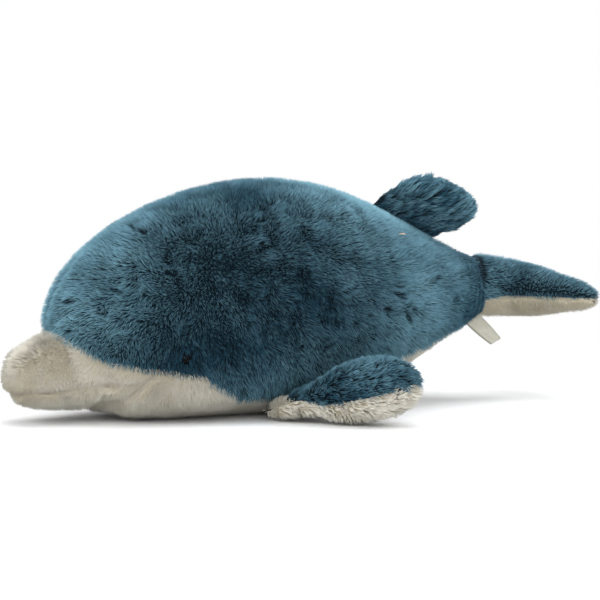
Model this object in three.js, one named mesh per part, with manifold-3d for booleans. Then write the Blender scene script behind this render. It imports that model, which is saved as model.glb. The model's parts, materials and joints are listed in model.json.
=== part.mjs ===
// A plush dolphin that lies on its belly: a sewn skin of pile fabric panels over fibre filling, with a stuffed
// dorsal fin, two flippers and a tail fluke that flex at their seams, safety eyes and a folded fabric tag.
// Millimetres. x runs from the beak tip to the tail, the dolphin's left side is at -y, and z = 0 is the floor.
import * as THREE from "three";
import { mergeVertices } from "three/addons/utils/BufferGeometryUtils.js";
import Module from "manifold-3d";

const wasm = await Module();
wasm.setup();

// Fabric and seams
const SKIN = 6;
const SEAM_GAP = 0.3;
const FLOOR_CUT = 1;

// Body: a spindle with a blunt forehead, a flat belly and a lifted tail stock
const FOREHEAD_AT = 33;
const FOREHEAD_BASE = 74;
const FOREHEAD_FULLNESS = 1.6;
const CROWN_AT = 218;
const CROWN_HEIGHT = 197;
const CHIN_AT = 110;
const BODY_WIDTH = 182;
const WIDEST_AT = 205;
const BELLY_RISE_FROM = 238;
const TAIL_END_AT = 442;
const TAIL_STOCK_HEIGHT = 58;
const TAIL_STOCK_WIDTH = 48;
const TAIL_STOCK_LIFT = 73;
const TAIL_DOME = 9;
const BACK_DROP = 1.27;
const BELLY_RISE = 1.3;
const FLANK_TAPER = 1.35;
const WAIST_SHARE = 0.45;
const BACK_ROUNDNESS = 2.2;
const BELLY_ROUNDNESS = 3.2;

// Beak: a short blunt muzzle under the forehead
const BEAK_ROOT_AT = 112;
const BEAK_WIDTH = 66;
const BEAK_TIP_TOP = 52;
const BEAK_ROOT_TOP = 115;
const BEAK_TIP_BOTTOM = 12;
const BEAK_ROOT_BOTTOM = 0.5;
const BEAK_TIP_RADIUS = 20;
const BEAK_ROUNDNESS = 2.6;

// Seams of the white panels, in the side view
const CHEEK_AT = 62;
const CHEEK_SEAM_HEIGHT = 52;
const JOWL_AT = 138;
const JOWL_SEAM_HEIGHT = 38;
const TAIL_SEAM_RISE = 5;
const MOUTH_TIP_HEIGHT = 21;
const MOUTH_CORNER_AT = 52;
const MOUTH_CORNER_HEIGHT = 28;
const JAW_SEAM_TOP_AT = 96;
const JAW_SEAM_FLOOR_AT = 62;

// Dorsal fin, swept back along the fall of the back
const FIN_FRONT_AT = 318;
const FIN_REAR_AT = 393;
const FIN_HEIGHT = 51;
const FIN_TIP_CHORD = 56;
const FIN_THICKNESS = 36;
const FIN_SWEEP = 33;
const FIN_LEAN = 20;

// Flippers, sewn into the side seam and swept back along the floor
const FLIPPER_FRONT_AT = 190;
const FLIPPER_REAR_AT = 282;
const FLIPPER_FRONT_HEIGHT = 12;
const FLIPPER_REAR_HEIGHT = 33;
const FLIPPER_SPAN = 86;
const FLIPPER_TIP_CHORD = 56;
const FLIPPER_THICKNESS = 53;
const FLIPPER_SWEEP = 29;
const FLIPPER_DIHEDRAL = 6.5;
const FLIPPER_SEAM_DROP = 3;

// Tail fluke: two lobes in one stuffed crescent
const FLUKE_SPAN = 192;
const FLUKE_ROOT_CHORD = 74;
const FLUKE_TIP_CHORD = 34;
const FLUKE_THICKNESS = 54;
const FLUKE_TIP_THICKNESS = 20;
const FLUKE_SWEEP = 27;
const FLUKE_DROP = 3;
const FLUKE_HINGE_SETBACK = 27;
const FLUKE_FULLNESS = 2;
const FLUKE_TILT = 10;
const FLUKE_SEAM_DROP = 8;

// Sewn limb roots: each limb is pinched to a narrow round edge that rolls on its seam
const ROOT_EDGE = 4;
const LIMB_SWELL_SHARE = 0.62;
const LIMB_TIP_FULLNESS = 5;
const LIMB_FULLNESS = 2.4;
const LEAST_HALF = 0.4;

// Safety eyes with a shank through the skin and a lock washer behind it
const EYE_AT = 125.5;
const EYE_HEIGHT = 53.5;
const EYE_DIAMETER = 10;
const EYE_DOME = 4;
const SHANK_DIAMETER = 4;
const SHANK_LENGTH = 12;
const WASHER_DIAMETER = 14;
const WASHER_THICKNESS = 2;
const WASHER_SEAT = 1;
const EYE_SEAT = 3;
const EYE_CLEARANCE = 0.3;

// Folded fabric tag in the left seam, near the tail
const TAG_AT = 423;
const TAG_WIDTH = 18;
const TAG_LENGTH = 23;
const TAG_RIBBON = 0.7;
const TAG_FOLD_GAP = 0.8;

// Facets
const BODY_RINGS = 16;
const BODY_SIDES = 20;
const SEAM_STEPS = 11;
const LIMB_RINGS = 6;
const LIMB_SIDES = 12;
const EYE_SIDES = 12;

// Finishes
const BLUE_PLUSH = new THREE.MeshStandardMaterial({ color: 0x3d5f70, roughness: 0.95, metalness: 0 });
const WHITE_PLUSH = new THREE.MeshStandardMaterial({ color: 0xcfc8b4, roughness: 0.95, metalness: 0 });
const FIBRE_FILL = new THREE.MeshStandardMaterial({ color: 0xf2f1ec, roughness: 1, metalness: 0 });
const BLACK_EYE = new THREE.MeshStandardMaterial({ color: 0x080808, roughness: 0.12, metalness: 0 });
const WHITE_WASHER = new THREE.MeshStandardMaterial({ color: 0xdedcd4, roughness: 0.6, metalness: 0 });
const TAG_RIBBON_CLOTH = new THREE.MeshStandardMaterial({ color: 0xd3d0bf, roughness: 0.8, metalness: 0 });

const radians = THREE.MathUtils.degToRad;
const smooth = (share) => THREE.MathUtils.smoothstep(share, 0, 1);
const power = (value, exponent) => Math.sign(value) * Math.abs(value) ** exponent;
const arch = (share, fullness) => Math.sqrt(Math.max(0, 1 - Math.abs(share) ** fullness));
const vector = (x, y, z) => new THREE.Vector3(x, y, z);

// Solids

function solidOf(geometry) {
  const bare = geometry.clone();
  bare.deleteAttribute("normal");
  bare.deleteAttribute("uv");
  const merged = mergeVertices(bare, 1e-4);
  const vertProperties = new Float32Array(merged.attributes.position.array);
  const triVerts = new Uint32Array(merged.index.array);
  return new wasm.Manifold(new wasm.Mesh({ numProp: 3, vertProperties, triVerts }));
}

function meshOf(name, solid, material) {
  const { vertProperties, triVerts } = solid.getMesh();
  const geometry = new THREE.BufferGeometry();
  geometry.setAttribute("position", new THREE.BufferAttribute(vertProperties, 3));
  geometry.setIndex(new THREE.BufferAttribute(triVerts, 1));
  geometry.computeVertexNormals();
  const mesh = new THREE.Mesh(geometry, material);
  mesh.name = name;
  return mesh;
}

// A closed skin over rings of points, each ring going the same way round, with a fan over each end ring.
function loft(rings) {
  const sides = rings[0].length;
  const positions = [];
  const triangles = [];
  rings.flat().forEach((point) => positions.push(...point.toArray()));
  for (let ring = 0; ring + 1 < rings.length; ring += 1) {
    for (let side = 0; side < sides; side += 1) {
      const next = (side + 1) % sides;
      const low = ring * sides;
      const high = low + sides;
      triangles.push(low + side, low + next, high + side);
      triangles.push(low + next, high + next, high + side);
    }
  }
  const ends = [0, (rings.length - 1) * sides];
  ends.forEach((first, end) => {
    const centre = rings[end ? rings.length - 1 : 0]
      .reduce((sum, point) => sum.add(point), vector(0, 0, 0))
      .divideScalar(sides);
    const tip = positions.length / 3;
    positions.push(...centre.toArray());
    for (let side = 0; side < sides; side += 1) {
      const pair = [first + side, first + ((side + 1) % sides)];
      triangles.push(...(end ? pair : pair.reverse()), tip);
    }
  });
  if (signedVolume(positions, triangles) < 0) triangles.reverse();
  const geometry = new THREE.BufferGeometry();
  geometry.setAttribute("position", new THREE.Float32BufferAttribute(positions, 3));
  geometry.setIndex(triangles);
  return solidOf(geometry);
}

function signedVolume(positions, triangles) {
  let volume = 0;
  const corner = (index) => new THREE.Vector3().fromArray(positions, 3 * triangles[index]);
  for (let first = 0; first < triangles.length; first += 3) {
    volume += corner(first).dot(corner(first + 1).cross(corner(first + 2)));
  }
  return volume;
}

// A slab across the whole width, cut to an outline in the side view.
function sideSlab(outline, halfWidth = BODY_WIDTH) {
  const shape = new THREE.Shape(outline);
  const slab = new THREE.ExtrudeGeometry(shape, { depth: 2 * halfWidth, bevelEnabled: false });
  slab.rotateX(Math.PI / 2);
  slab.translate(0, halfWidth, 0);
  return solidOf(slab);
}

// A half-space on one side of a plane, as a large block that keeps half a seam gap from the plane.
function halfSpace(origin, normal, reach = 2 * TAIL_END_AT) {
  const block = new THREE.BoxGeometry(reach, reach, reach);
  block.translate(0, 0, reach / 2 + SEAM_GAP / 2);
  block.applyQuaternion(new THREE.Quaternion().setFromUnitVectors(vector(0, 0, 1), normal));
  block.translate(origin.x, origin.y, origin.z);
  return solidOf(block);
}

// Stations from 0 to 1, closer together towards both ends.
const stations = (count) =>
  Array.from({ length: count + 1 }, (_, index) => (1 - Math.cos((Math.PI * index) / count)) / 2);

// Body

// The tail stock closes, and the fluke bends, at this height.
const hingeHeight = TAIL_STOCK_LIFT + TAIL_STOCK_HEIGHT / 2 - FLUKE_DROP;

// The body's profile curves, drawn in by inset on every side.
function bodyProfile(inset) {
  const front = FOREHEAD_AT + inset;
  const rear = TAIL_END_AT - inset;
  const stockTop = TAIL_STOCK_LIFT + TAIL_STOCK_HEIGHT - inset;
  const stockHalf = TAIL_STOCK_WIDTH / 2 - inset;
  const crown = CROWN_HEIGHT - inset;
  const floor = inset - FLOOR_CUT;
  const half = BODY_WIDTH / 2 - inset;

  const top = (x) => {
    if (x < CROWN_AT) {
      const share = (CROWN_AT - x) / (CROWN_AT - front);
      return FOREHEAD_BASE + (crown - FOREHEAD_BASE) * arch(share, FOREHEAD_FULLNESS);
    }
    const share = (x - CROWN_AT) / (rear - CROWN_AT);
    return stockTop + (crown - stockTop) * (1 - smooth(share ** BACK_DROP));
  };

  const bottom = (x) => {
    if (x < CHIN_AT) {
      const share = (CHIN_AT - x) / (CHIN_AT - front);
      return floor + (FOREHEAD_BASE - floor) * (1 - arch(share, 2));
    }
    const share = Math.max(0, (x - BELLY_RISE_FROM) / (TAIL_END_AT - BELLY_RISE_FROM));
    return floor + (TAIL_STOCK_LIFT + FLOOR_CUT) * share ** BELLY_RISE;
  };

  const side = (x) => {
    if (x < WIDEST_AT) return half * arch((WIDEST_AT - x) / (WIDEST_AT - front), 2);
    const share = (x - WIDEST_AT) / (rear - WIDEST_AT);
    return stockHalf + (half - stockHalf) * (1 - smooth(share ** FLANK_TAPER));
  };

  const waist = (x) => bottom(x) + WAIST_SHARE * (top(x) - bottom(x));
  return { front, rear, top, bottom, side, waist };
}

function bodyRing(profile, x) {
  const into = Math.max(0, (x - (profile.rear - TAIL_DOME)) / TAIL_DOME);
  const dome = Math.max(arch(into, 2), 0.02);
  const waist = THREE.MathUtils.lerp(hingeHeight, profile.waist(x), dome);
  const rise = dome * (profile.top(x) - profile.waist(x));
  const fall = dome * (profile.waist(x) - profile.bottom(x));
  return Array.from({ length: BODY_SIDES }, (_, index) => {
    const angle = (2 * Math.PI * index) / BODY_SIDES;
    const above = Math.sin(angle) > 0;
    const roundness = above ? BACK_ROUNDNESS : BELLY_ROUNDNESS;
    const y = dome * profile.side(x) * power(Math.cos(angle), 2 / roundness);
    const z = waist + (above ? rise : fall) * power(Math.sin(angle), 2 / roundness);
    return vector(x, y, z);
  });
}

function bodySpindle(inset) {
  const profile = bodyProfile(inset);
  const rings = stations(BODY_RINGS)
    .map((share) => THREE.MathUtils.lerp(profile.front + 0.3, profile.rear, share))
    .map((x) => bodyRing(profile, x));
  return loft(rings);
}

function beakLobe(inset) {
  const tip = inset;
  const rings = stations(LIMB_RINGS).map((share) => {
    const x = THREE.MathUtils.lerp(tip + 0.2, BEAK_ROOT_AT, share);
    const along = x / BEAK_ROOT_AT;
    const blunt = arch(Math.max(0, 1 - (x - tip) / BEAK_TIP_RADIUS), BEAK_ROUNDNESS);
    const top = THREE.MathUtils.lerp(BEAK_TIP_TOP, BEAK_ROOT_TOP, along) - inset;
    const bottom = THREE.MathUtils.lerp(BEAK_TIP_BOTTOM, BEAK_ROOT_BOTTOM, along) + inset;
    const half = BEAK_WIDTH / 2 - inset;
    const middle = (top + bottom) / 2;
    return Array.from({ length: LIMB_SIDES }, (_, index) => {
      const angle = (2 * Math.PI * index) / LIMB_SIDES;
      const y = blunt * half * power(Math.cos(angle), 2 / BEAK_ROUNDNESS);
      const z = middle + blunt * (top - middle) * power(Math.sin(angle), 2 / BEAK_ROUNDNESS);
      return vector(x, y, z);
    });
  });
  return loft(rings);
}

const outerProfile = bodyProfile(0);
const floor = halfSpace(vector(0, 0, -SEAM_GAP / 2), vector(0, 0, 1));
const outside = bodySpindle(0).add(beakLobe(0)).intersect(floor);
const skinSurface = meshOf("skin_surface", outside, BLUE_PLUSH);

// Where a line from far outside first meets the body's skin.
function skinHit(origin, direction) {
  const [hit] = new THREE.Raycaster(origin, direction).intersectObject(skinSurface);
  return hit.point;
}

// A point of the skin at a place along the body and a height, the same on both sides.
function skinPoint(x, z, side) {
  const left = skinHit(vector(x, -BODY_WIDTH, z), vector(0, 1, 0));
  return vector(left.x, side * Math.abs(left.y), left.z);
}

// The skin's outward direction there, over a patch of a given size.
function skinNormal(x, z, side, patch) {
  const along = skinPoint(x + patch / 2, z, side).sub(skinPoint(x - patch / 2, z, side));
  const upward = skinPoint(x, z + patch / 2, side).sub(skinPoint(x, z - patch / 2, side));
  const normal = along.cross(upward).normalize();
  return normal.y * side < 0 ? normal.negate() : normal;
}

// The seam between the blue back and the white panels, from above the beak to past the tail.
const whiteSeam = new THREE.SplineCurve([
  new THREE.Vector2(FOREHEAD_AT + 2, FOREHEAD_BASE + 1),
  new THREE.Vector2(CHEEK_AT, CHEEK_SEAM_HEIGHT),
  new THREE.Vector2(JOWL_AT, JOWL_SEAM_HEIGHT),
  new THREE.Vector2(FLIPPER_FRONT_AT, FLIPPER_FRONT_HEIGHT),
  new THREE.Vector2(FLIPPER_REAR_AT, FLIPPER_REAR_HEIGHT),
  new THREE.Vector2(FIN_REAR_AT, outerProfile.bottom(FIN_REAR_AT) + TAIL_SEAM_RISE),
  new THREE.Vector2(TAIL_END_AT, TAIL_STOCK_LIFT + TAIL_SEAM_RISE),
]);

function whiteSide(gap) {
  const lift = new THREE.Vector2(0, gap);
  const seam = whiteSeam.getSpacedPoints(SEAM_STEPS).map((point) => point.add(lift));
  const start = new THREE.Vector2(-SKIN, seam[0].y + SKIN);
  const past = new THREE.Vector2(TAIL_END_AT + SKIN, seam.at(-1).y);
  const under = [new THREE.Vector2(past.x, -SKIN), new THREE.Vector2(start.x, -SKIN)];
  return sideSlab([start, ...seam, past, ...under]);
}

function bodyPanels() {
  const inside = bodySpindle(SKIN).add(beakLobe(SKIN));
  const skin = outside.subtract(inside);
  const blue = skin.subtract(whiteSide(SEAM_GAP / 2));
  const white = skin.intersect(whiteSide(-SEAM_GAP / 2));

  const jawSeam = vector(JAW_SEAM_FLOOR_AT - JAW_SEAM_TOP_AT, 0, -JOWL_SEAM_HEIGHT);
  const jawNormal = vector(jawSeam.z, 0, -jawSeam.x).normalize();
  const jawFoot = vector(JAW_SEAM_FLOOR_AT, 0, 0);
  const belly = white.intersect(halfSpace(jawFoot, jawNormal.clone().negate()));
  const muzzle = white.intersect(halfSpace(jawFoot, jawNormal));

  const mouth = vector(MOUTH_CORNER_AT, 0, MOUTH_CORNER_HEIGHT - MOUTH_TIP_HEIGHT);
  const mouthNormal = vector(-mouth.z, 0, mouth.x).normalize();
  const mouthTip = vector(0, 0, MOUTH_TIP_HEIGHT);
  return {
    left: blue.intersect(halfSpace(vector(0, 0, 0), vector(0, -1, 0))),
    right: blue.intersect(halfSpace(vector(0, 0, 0), vector(0, 1, 0))),
    belly,
    beak: muzzle.intersect(halfSpace(mouthTip, mouthNormal)),
    jaw: muzzle.intersect(halfSpace(mouthTip, mouthNormal.clone().negate())),
    filling: bodySpindle(SKIN + SEAM_GAP).add(beakLobe(SKIN + SEAM_GAP)),
  };
}

// Limbs

// A ring round a section, with its own half chords ahead of and behind the thickest line.
const ovalRing = (centre, fore, aft, thick, fullness) =>
  Array.from({ length: LIMB_SIDES }, (_, index) => {
    const angle = (2 * Math.PI * index) / LIMB_SIDES;
    const half = Math.cos(angle) < 0 ? fore : aft;
    return centre
      .clone()
      .addScaledVector(half, Math.abs(Math.cos(angle)) ** (2 / fullness))
      .addScaledVector(thick, power(Math.sin(angle), 2 / fullness));
  });

// A stuffed form, drawn in by inset: section gives the ring centre, half chords and half thickness at a reach
// between two ends. Extra rings shape the root edge, and all keep to where the form is wide and thick enough.
function stuffed(section, { from, to, extra, count, foreway, aftway, thickway, fullness }, inset) {
  const least = (reach) => Math.min(section(reach).fore, section(reach).aft, section(reach).thickness);
  const holds = (reach) => least(reach) > inset + LEAST_HALF;
  const probes = Array.from({ length: 400 }, (_, index) => THREE.MathUtils.lerp(from, to, (index + 0.5) / 400));
  const inside = probes.filter(holds);
  const spread = stations(count).map((share) => THREE.MathUtils.lerp(inside[0], inside.at(-1), share));
  const rings = [...extra.filter(holds), ...spread].map((reach) => {
    const { centre, fore, aft, thickness } = section(reach);
    const [front, rear] = [foreway.clone().multiplyScalar(fore - inset), aftway.clone().multiplyScalar(aft - inset)];
    return ovalRing(centre, front, rear, thickway.clone().multiplyScalar(thickness - inset), fullness);
  });
  return loft(rings);
}

// The section of a limb on a hinge line, swelling from the pinched root edge and rounding off at the tip.
function limbSection({ base, along, outward }, { span, rootChord, tipChord, thickness, sweep }) {
  return (reach) => {
    const share = Math.max(0, reach) / span;
    const nose = reach < 0 ? arch(reach / ROOT_EDGE, 2) : 1;
    const tip = arch(share, LIMB_TIP_FULLNESS);
    const half = ROOT_EDGE + (thickness / 2 - ROOT_EDGE) * smooth(share / LIMB_SWELL_SHARE);
    const centre = base
      .clone()
      .addScaledVector(outward, reach)
      .addScaledVector(along, Math.max(0, reach) * Math.tan(radians(sweep)));
    const chord = (tip * THREE.MathUtils.lerp(rootChord, tipChord, share)) / 2;
    return { centre, fore: chord, aft: chord, thickness: half * tip * nose };
  };
}

// Two panels sewn edge to edge round a filling, split at the plane through the middle of the form.
function stuffedSet(form, middle, thickway) {
  const inside = form(SKIN);
  const skin = form(0).subtract(inside);
  return {
    upper: skin.intersect(halfSpace(middle, thickway)),
    lower: skin.intersect(halfSpace(middle, thickway.clone().negate())),
    filling: form(SKIN + SEAM_GAP).intersect(inside),
  };
}

// A hinge line over a run of skin points, far enough off the skin for the root edge to clear all of them.
function seat(points, normal, facing, edge = ROOT_EDGE) {
  const along = points.at(-1).clone().sub(points[0]).normalize();
  const outward = facing.clone().addScaledVector(along, -facing.dot(along)).normalize();
  const off = normal.clone().addScaledVector(along, -normal.dot(along)).normalize();
  const middle = points[0].clone().add(points.at(-1)).divideScalar(2);
  const proud = Math.max(...points.map((point) => point.clone().sub(middle).dot(off)));
  return { base: middle.addScaledVector(off, proud + SEAM_GAP + edge), along, outward };
}

const run = (from, to) => Array.from({ length: 13 }, (_, index) => THREE.MathUtils.lerp(from, to, index / 12));

function limbSet(hinge, form) {
  const thickway = hinge.along.clone().cross(hinge.outward);
  if (thickway.dot(form.faces) < 0) thickway.negate();
  const section = limbSection(hinge, form);
  const edge = [0.97, 0.75, 0.4].map((share) => -share * ROOT_EDGE);
  const ends = { from: 0, to: form.span, extra: edge, count: LIMB_RINGS };
  const ways = { foreway: hinge.along.clone().negate(), aftway: hinge.along, thickway };
  const span = { ...ends, ...ways, fullness: LIMB_FULLNESS };
  const seam = hinge.base.clone().addScaledVector(thickway, -form.seamDrop);
  return stuffedSet((inset) => stuffed(section, span, inset), seam, thickway);
}

function finHinge() {
  const above = (x) => vector(x, 0, 2 * CROWN_HEIGHT);
  const back = run(FIN_FRONT_AT, FIN_REAR_AT).map((x) => skinHit(above(x), vector(0, 0, -1)));
  const lean = radians(FIN_LEAN);
  return seat(back, vector(0, 0, 1), vector(0, -Math.sin(lean), Math.cos(lean)));
}

function flipperHinge(side) {
  const heightAt = (x) => THREE.MathUtils.mapLinear(
    x, FLIPPER_FRONT_AT, FLIPPER_REAR_AT, FLIPPER_FRONT_HEIGHT, FLIPPER_REAR_HEIGHT,
  );
  const root = run(FLIPPER_FRONT_AT, FLIPPER_REAR_AT).map((x) => skinPoint(x, heightAt(x), side));
  const middle = (FLIPPER_FRONT_AT + FLIPPER_REAR_AT) / 2;
  const rise = radians(FLIPPER_DIHEDRAL);
  const outward = vector(0, side * Math.cos(rise), Math.sin(rise));
  return seat(root, skinNormal(middle, heightAt(middle), side, 2 * ROOT_EDGE), outward);
}

// The fluke bends about a line across the tail, in the middle of its own round front edge.
function flukeHinge() {
  return vector(TAIL_END_AT + SEAM_GAP + FLUKE_HINGE_SETBACK, 0, hingeHeight);
}

function dorsalFin() {
  return limbSet(finHinge(), {
    span: FIN_HEIGHT,
    rootChord: FIN_REAR_AT - FIN_FRONT_AT,
    tipChord: FIN_TIP_CHORD,
    thickness: FIN_THICKNESS,
    sweep: FIN_SWEEP,
    seamDrop: 0,
    faces: vector(0, -1, 0),
  });
}

function flipper(side) {
  return limbSet(flipperHinge(side), {
    span: FLIPPER_SPAN,
    rootChord: FLIPPER_REAR_AT - FLIPPER_FRONT_AT,
    tipChord: FLIPPER_TIP_CHORD,
    thickness: FLIPPER_THICKNESS,
    sweep: FLIPPER_SWEEP,
    seamDrop: FLIPPER_SEAM_DROP,
    faces: vector(0, 0, 1),
  });
}

function tailFluke() {
  const hinge = flukeHinge();
  const tilt = radians(FLUKE_TILT);
  const aftway = vector(Math.cos(tilt), 0, -Math.sin(tilt));
  const [foreway, thickway] = [vector(-1, 0, 0), vector(0, 0, 1)];
  const section = (y) => {
    const share = Math.abs(y) / (FLUKE_SPAN / 2);
    const tip = arch(share, LIMB_TIP_FULLNESS);
    const chord = tip * THREE.MathUtils.lerp(1, FLUKE_TIP_CHORD / FLUKE_ROOT_CHORD, share);
    const thickness = (tip * THREE.MathUtils.lerp(FLUKE_THICKNESS, FLUKE_TIP_THICKNESS, smooth(share))) / 2;
    const swept = Math.hypot(y, TAIL_STOCK_WIDTH / 2) - TAIL_STOCK_WIDTH / 2;
    const centre = vector(hinge.x, y, hinge.z).addScaledVector(aftway, swept * Math.tan(radians(FLUKE_SWEEP)));
    const [fore, aft] = [FLUKE_HINGE_SETBACK, FLUKE_ROOT_CHORD - FLUKE_HINGE_SETBACK].map((half) => chord * half);
    return { centre, fore, aft, thickness };
  };
  const ends = { from: -FLUKE_SPAN / 2, to: FLUKE_SPAN / 2, extra: [], count: 2 * LIMB_RINGS };
  const span = { ...ends, foreway, aftway, thickway, fullness: FLUKE_FULLNESS };
  const seam = vector(hinge.x, 0, hinge.z - FLUKE_SEAM_DROP);
  return stuffedSet((inset) => stuffed(section, span, inset), seam, thickway);
}

// Eyes

// A round piece on the eye's axis: outline gives radius and depth from the seat, with depth growing outwards.
function onEyeAxis(outline, side) {
  const profile = outline.map(([radius, depth]) => new THREE.Vector2(radius, depth));
  const turned = new THREE.LatheGeometry(profile, EYE_SIDES);
  const normal = skinNormal(EYE_AT, EYE_HEIGHT, side, EYE_DIAMETER);
  turned.applyQuaternion(new THREE.Quaternion().setFromUnitVectors(vector(0, 1, 0), normal));
  const seatPoint = skinPoint(EYE_AT, EYE_HEIGHT, side).addScaledVector(normal, -EYE_SEAT);
  turned.translate(...seatPoint.toArray());
  return solidOf(turned);
}

const pin = (radius, low, high, side) => onEyeAxis([[0, low], [radius, low], [radius, high], [0, high]], side);

function eyeSet(side) {
  const radius = EYE_DIAMETER / 2;
  const shank = SHANK_DIAMETER / 2;
  const base = EYE_CLEARANCE;
  const rim = base + 1;
  const steps = [0.3, 0.55, 0.8, 0.95];
  const dome = steps.map((share) => [radius * Math.sqrt(1 - share ** 2), rim + (EYE_DOME - 1) * share]);
  const eye = [[0, -SHANK_LENGTH], [shank, -SHANK_LENGTH], [shank, base], [radius, base], [radius, rim], ...dome];
  const washerTop = WASHER_SEAT + EYE_SEAT - SKIN;
  const washerBottom = washerTop - WASHER_THICKNESS;
  const bore = shank + EYE_CLEARANCE;
  const washer = WASHER_DIAMETER / 2;
  const ring = [[bore, washerBottom], [washer, washerBottom], [washer, washerTop], [bore, washerTop]];
  const room = washer + EYE_CLEARANCE;
  const well = pin(room, washerBottom - EYE_CLEARANCE, washerTop + EYE_CLEARANCE, side);
  return {
    eye: onEyeAxis([...eye, [0, base + EYE_DOME]], side),
    washer: onEyeAxis([...ring, ring[0]], side),
    hole: pin(radius + EYE_CLEARANCE, 0, EYE_SEAT + EYE_DOME, side)
      .add(pin(bore, -SHANK_LENGTH - EYE_CLEARANCE, EYE_CLEARANCE, side))
      .add(well),
  };
}

// Tag

// A ribbon folded once: a hairpin in section, open where it enters the seam, with its width along the seam.
function tagHinge() {
  const height = (x) => outerProfile.bottom(x) + TAIL_SEAM_RISE;
  const seam = run(TAG_AT - TAG_WIDTH / 2, TAG_AT + TAG_WIDTH / 2).map((x) => skinPoint(x, height(x), -1));
  const normal = skinNormal(TAG_AT, height(TAG_AT), -1, TAIL_SEAM_RISE);
  return seat(seam, normal, normal, TAG_RIBBON / 2);
}

function sewnTag() {
  const { base, along, outward } = tagHinge();
  const outer = TAG_RIBBON + TAG_FOLD_GAP / 2;
  const inner = TAG_FOLD_GAP / 2;
  const fold = TAG_LENGTH - outer;
  const hairpin = new THREE.Shape();
  hairpin.moveTo(-outer, 0);
  hairpin.lineTo(-inner, 0);
  hairpin.lineTo(-inner, fold);
  hairpin.absarc(0, fold, inner, Math.PI, 0, true);
  hairpin.lineTo(inner, 0);
  hairpin.lineTo(outer, 0);
  hairpin.lineTo(outer, fold);
  hairpin.absarc(0, fold, outer, 0, Math.PI, false);
  const ribbon = new THREE.ExtrudeGeometry(hairpin, { depth: TAG_WIDTH, bevelEnabled: false, curveSegments: 6 });
  ribbon.translate(0, 0, -TAG_WIDTH / 2);
  const facing = outward.clone().cross(along);
  ribbon.applyMatrix4(new THREE.Matrix4().makeBasis(facing, outward, along));
  ribbon.translate(...base.toArray());
  return solidOf(ribbon);
}

// Assembly

const body = bodyPanels();
const fin = dorsalFin();
const fluke = tailFluke();
const sides = { left: -1, right: 1 };
const eyes = { left: eyeSet(sides.left), right: eyeSet(sides.right) };
const flippers = { left: flipper(sides.left), right: flipper(sides.right) };

const toy = new THREE.Group();
toy.name = "plush_dolphin";
const add = (name, solid, material) => toy.add(meshOf(name, solid, material));

add("left_side_panel", body.left.subtract(eyes.left.hole), BLUE_PLUSH);
add("right_side_panel", body.right.subtract(eyes.right.hole), BLUE_PLUSH);
add("belly_panel", body.belly, WHITE_PLUSH);
add("upper_beak_panel", body.beak, WHITE_PLUSH);
add("lower_jaw_panel", body.jaw, WHITE_PLUSH);
add("body_filling", body.filling.subtract(eyes.left.hole).subtract(eyes.right.hole), FIBRE_FILL);
add("dorsal_fin_left_panel", fin.upper, BLUE_PLUSH);
add("dorsal_fin_right_panel", fin.lower, BLUE_PLUSH);
add("dorsal_fin_filling", fin.filling, FIBRE_FILL);
Object.keys(sides).forEach((side) => {
  add(`${side}_flipper_top_panel`, flippers[side].upper, BLUE_PLUSH);
  add(`${side}_flipper_underside_panel`, flippers[side].lower, WHITE_PLUSH);
  add(`${side}_flipper_filling`, flippers[side].filling, FIBRE_FILL);
  add(`${side}_eye`, eyes[side].eye, BLACK_EYE);
  add(`${side}_eye_washer`, eyes[side].washer, WHITE_WASHER);
});
add("fluke_top_panel", fluke.upper, BLUE_PLUSH);
add("fluke_underside_panel", fluke.lower, WHITE_PLUSH);
add("fluke_filling", fluke.filling, FIBRE_FILL);
add("sewn_tag", sewnTag(), TAG_RIBBON_CLOTH);

// The origin is under the middle of the toy, on the floor.
const box = new THREE.Box3().setFromObject(toy);
const middle = box.getCenter(new THREE.Vector3());
toy.children.forEach((piece) => piece.geometry.translate(-middle.x, 0, -box.min.z));

export default toy;
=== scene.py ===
"""A stuffed dolphin in pile fabric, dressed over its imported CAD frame.

Each stuffed form is puffed up by a cloth simulation, cut into its sewn panels and given a coat of modelled pile.
Sizes are in metres, in the frame of the CAD model: the beak points to -X, the dolphin's left side to -Y, and the
floor is at Z = 0.
"""

from __future__ import annotations

import json
import logging
import math
from dataclasses import dataclass, field
from enum import Enum
from typing import Any, Union

import bmesh
import bpy
import numpy as np
from bpy.types import Material, Mesh, Object
from mathutils import Matrix, Vector
from mathutils.bvhtree import BVHTree
from mathutils.kdtree import KDTree

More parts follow.
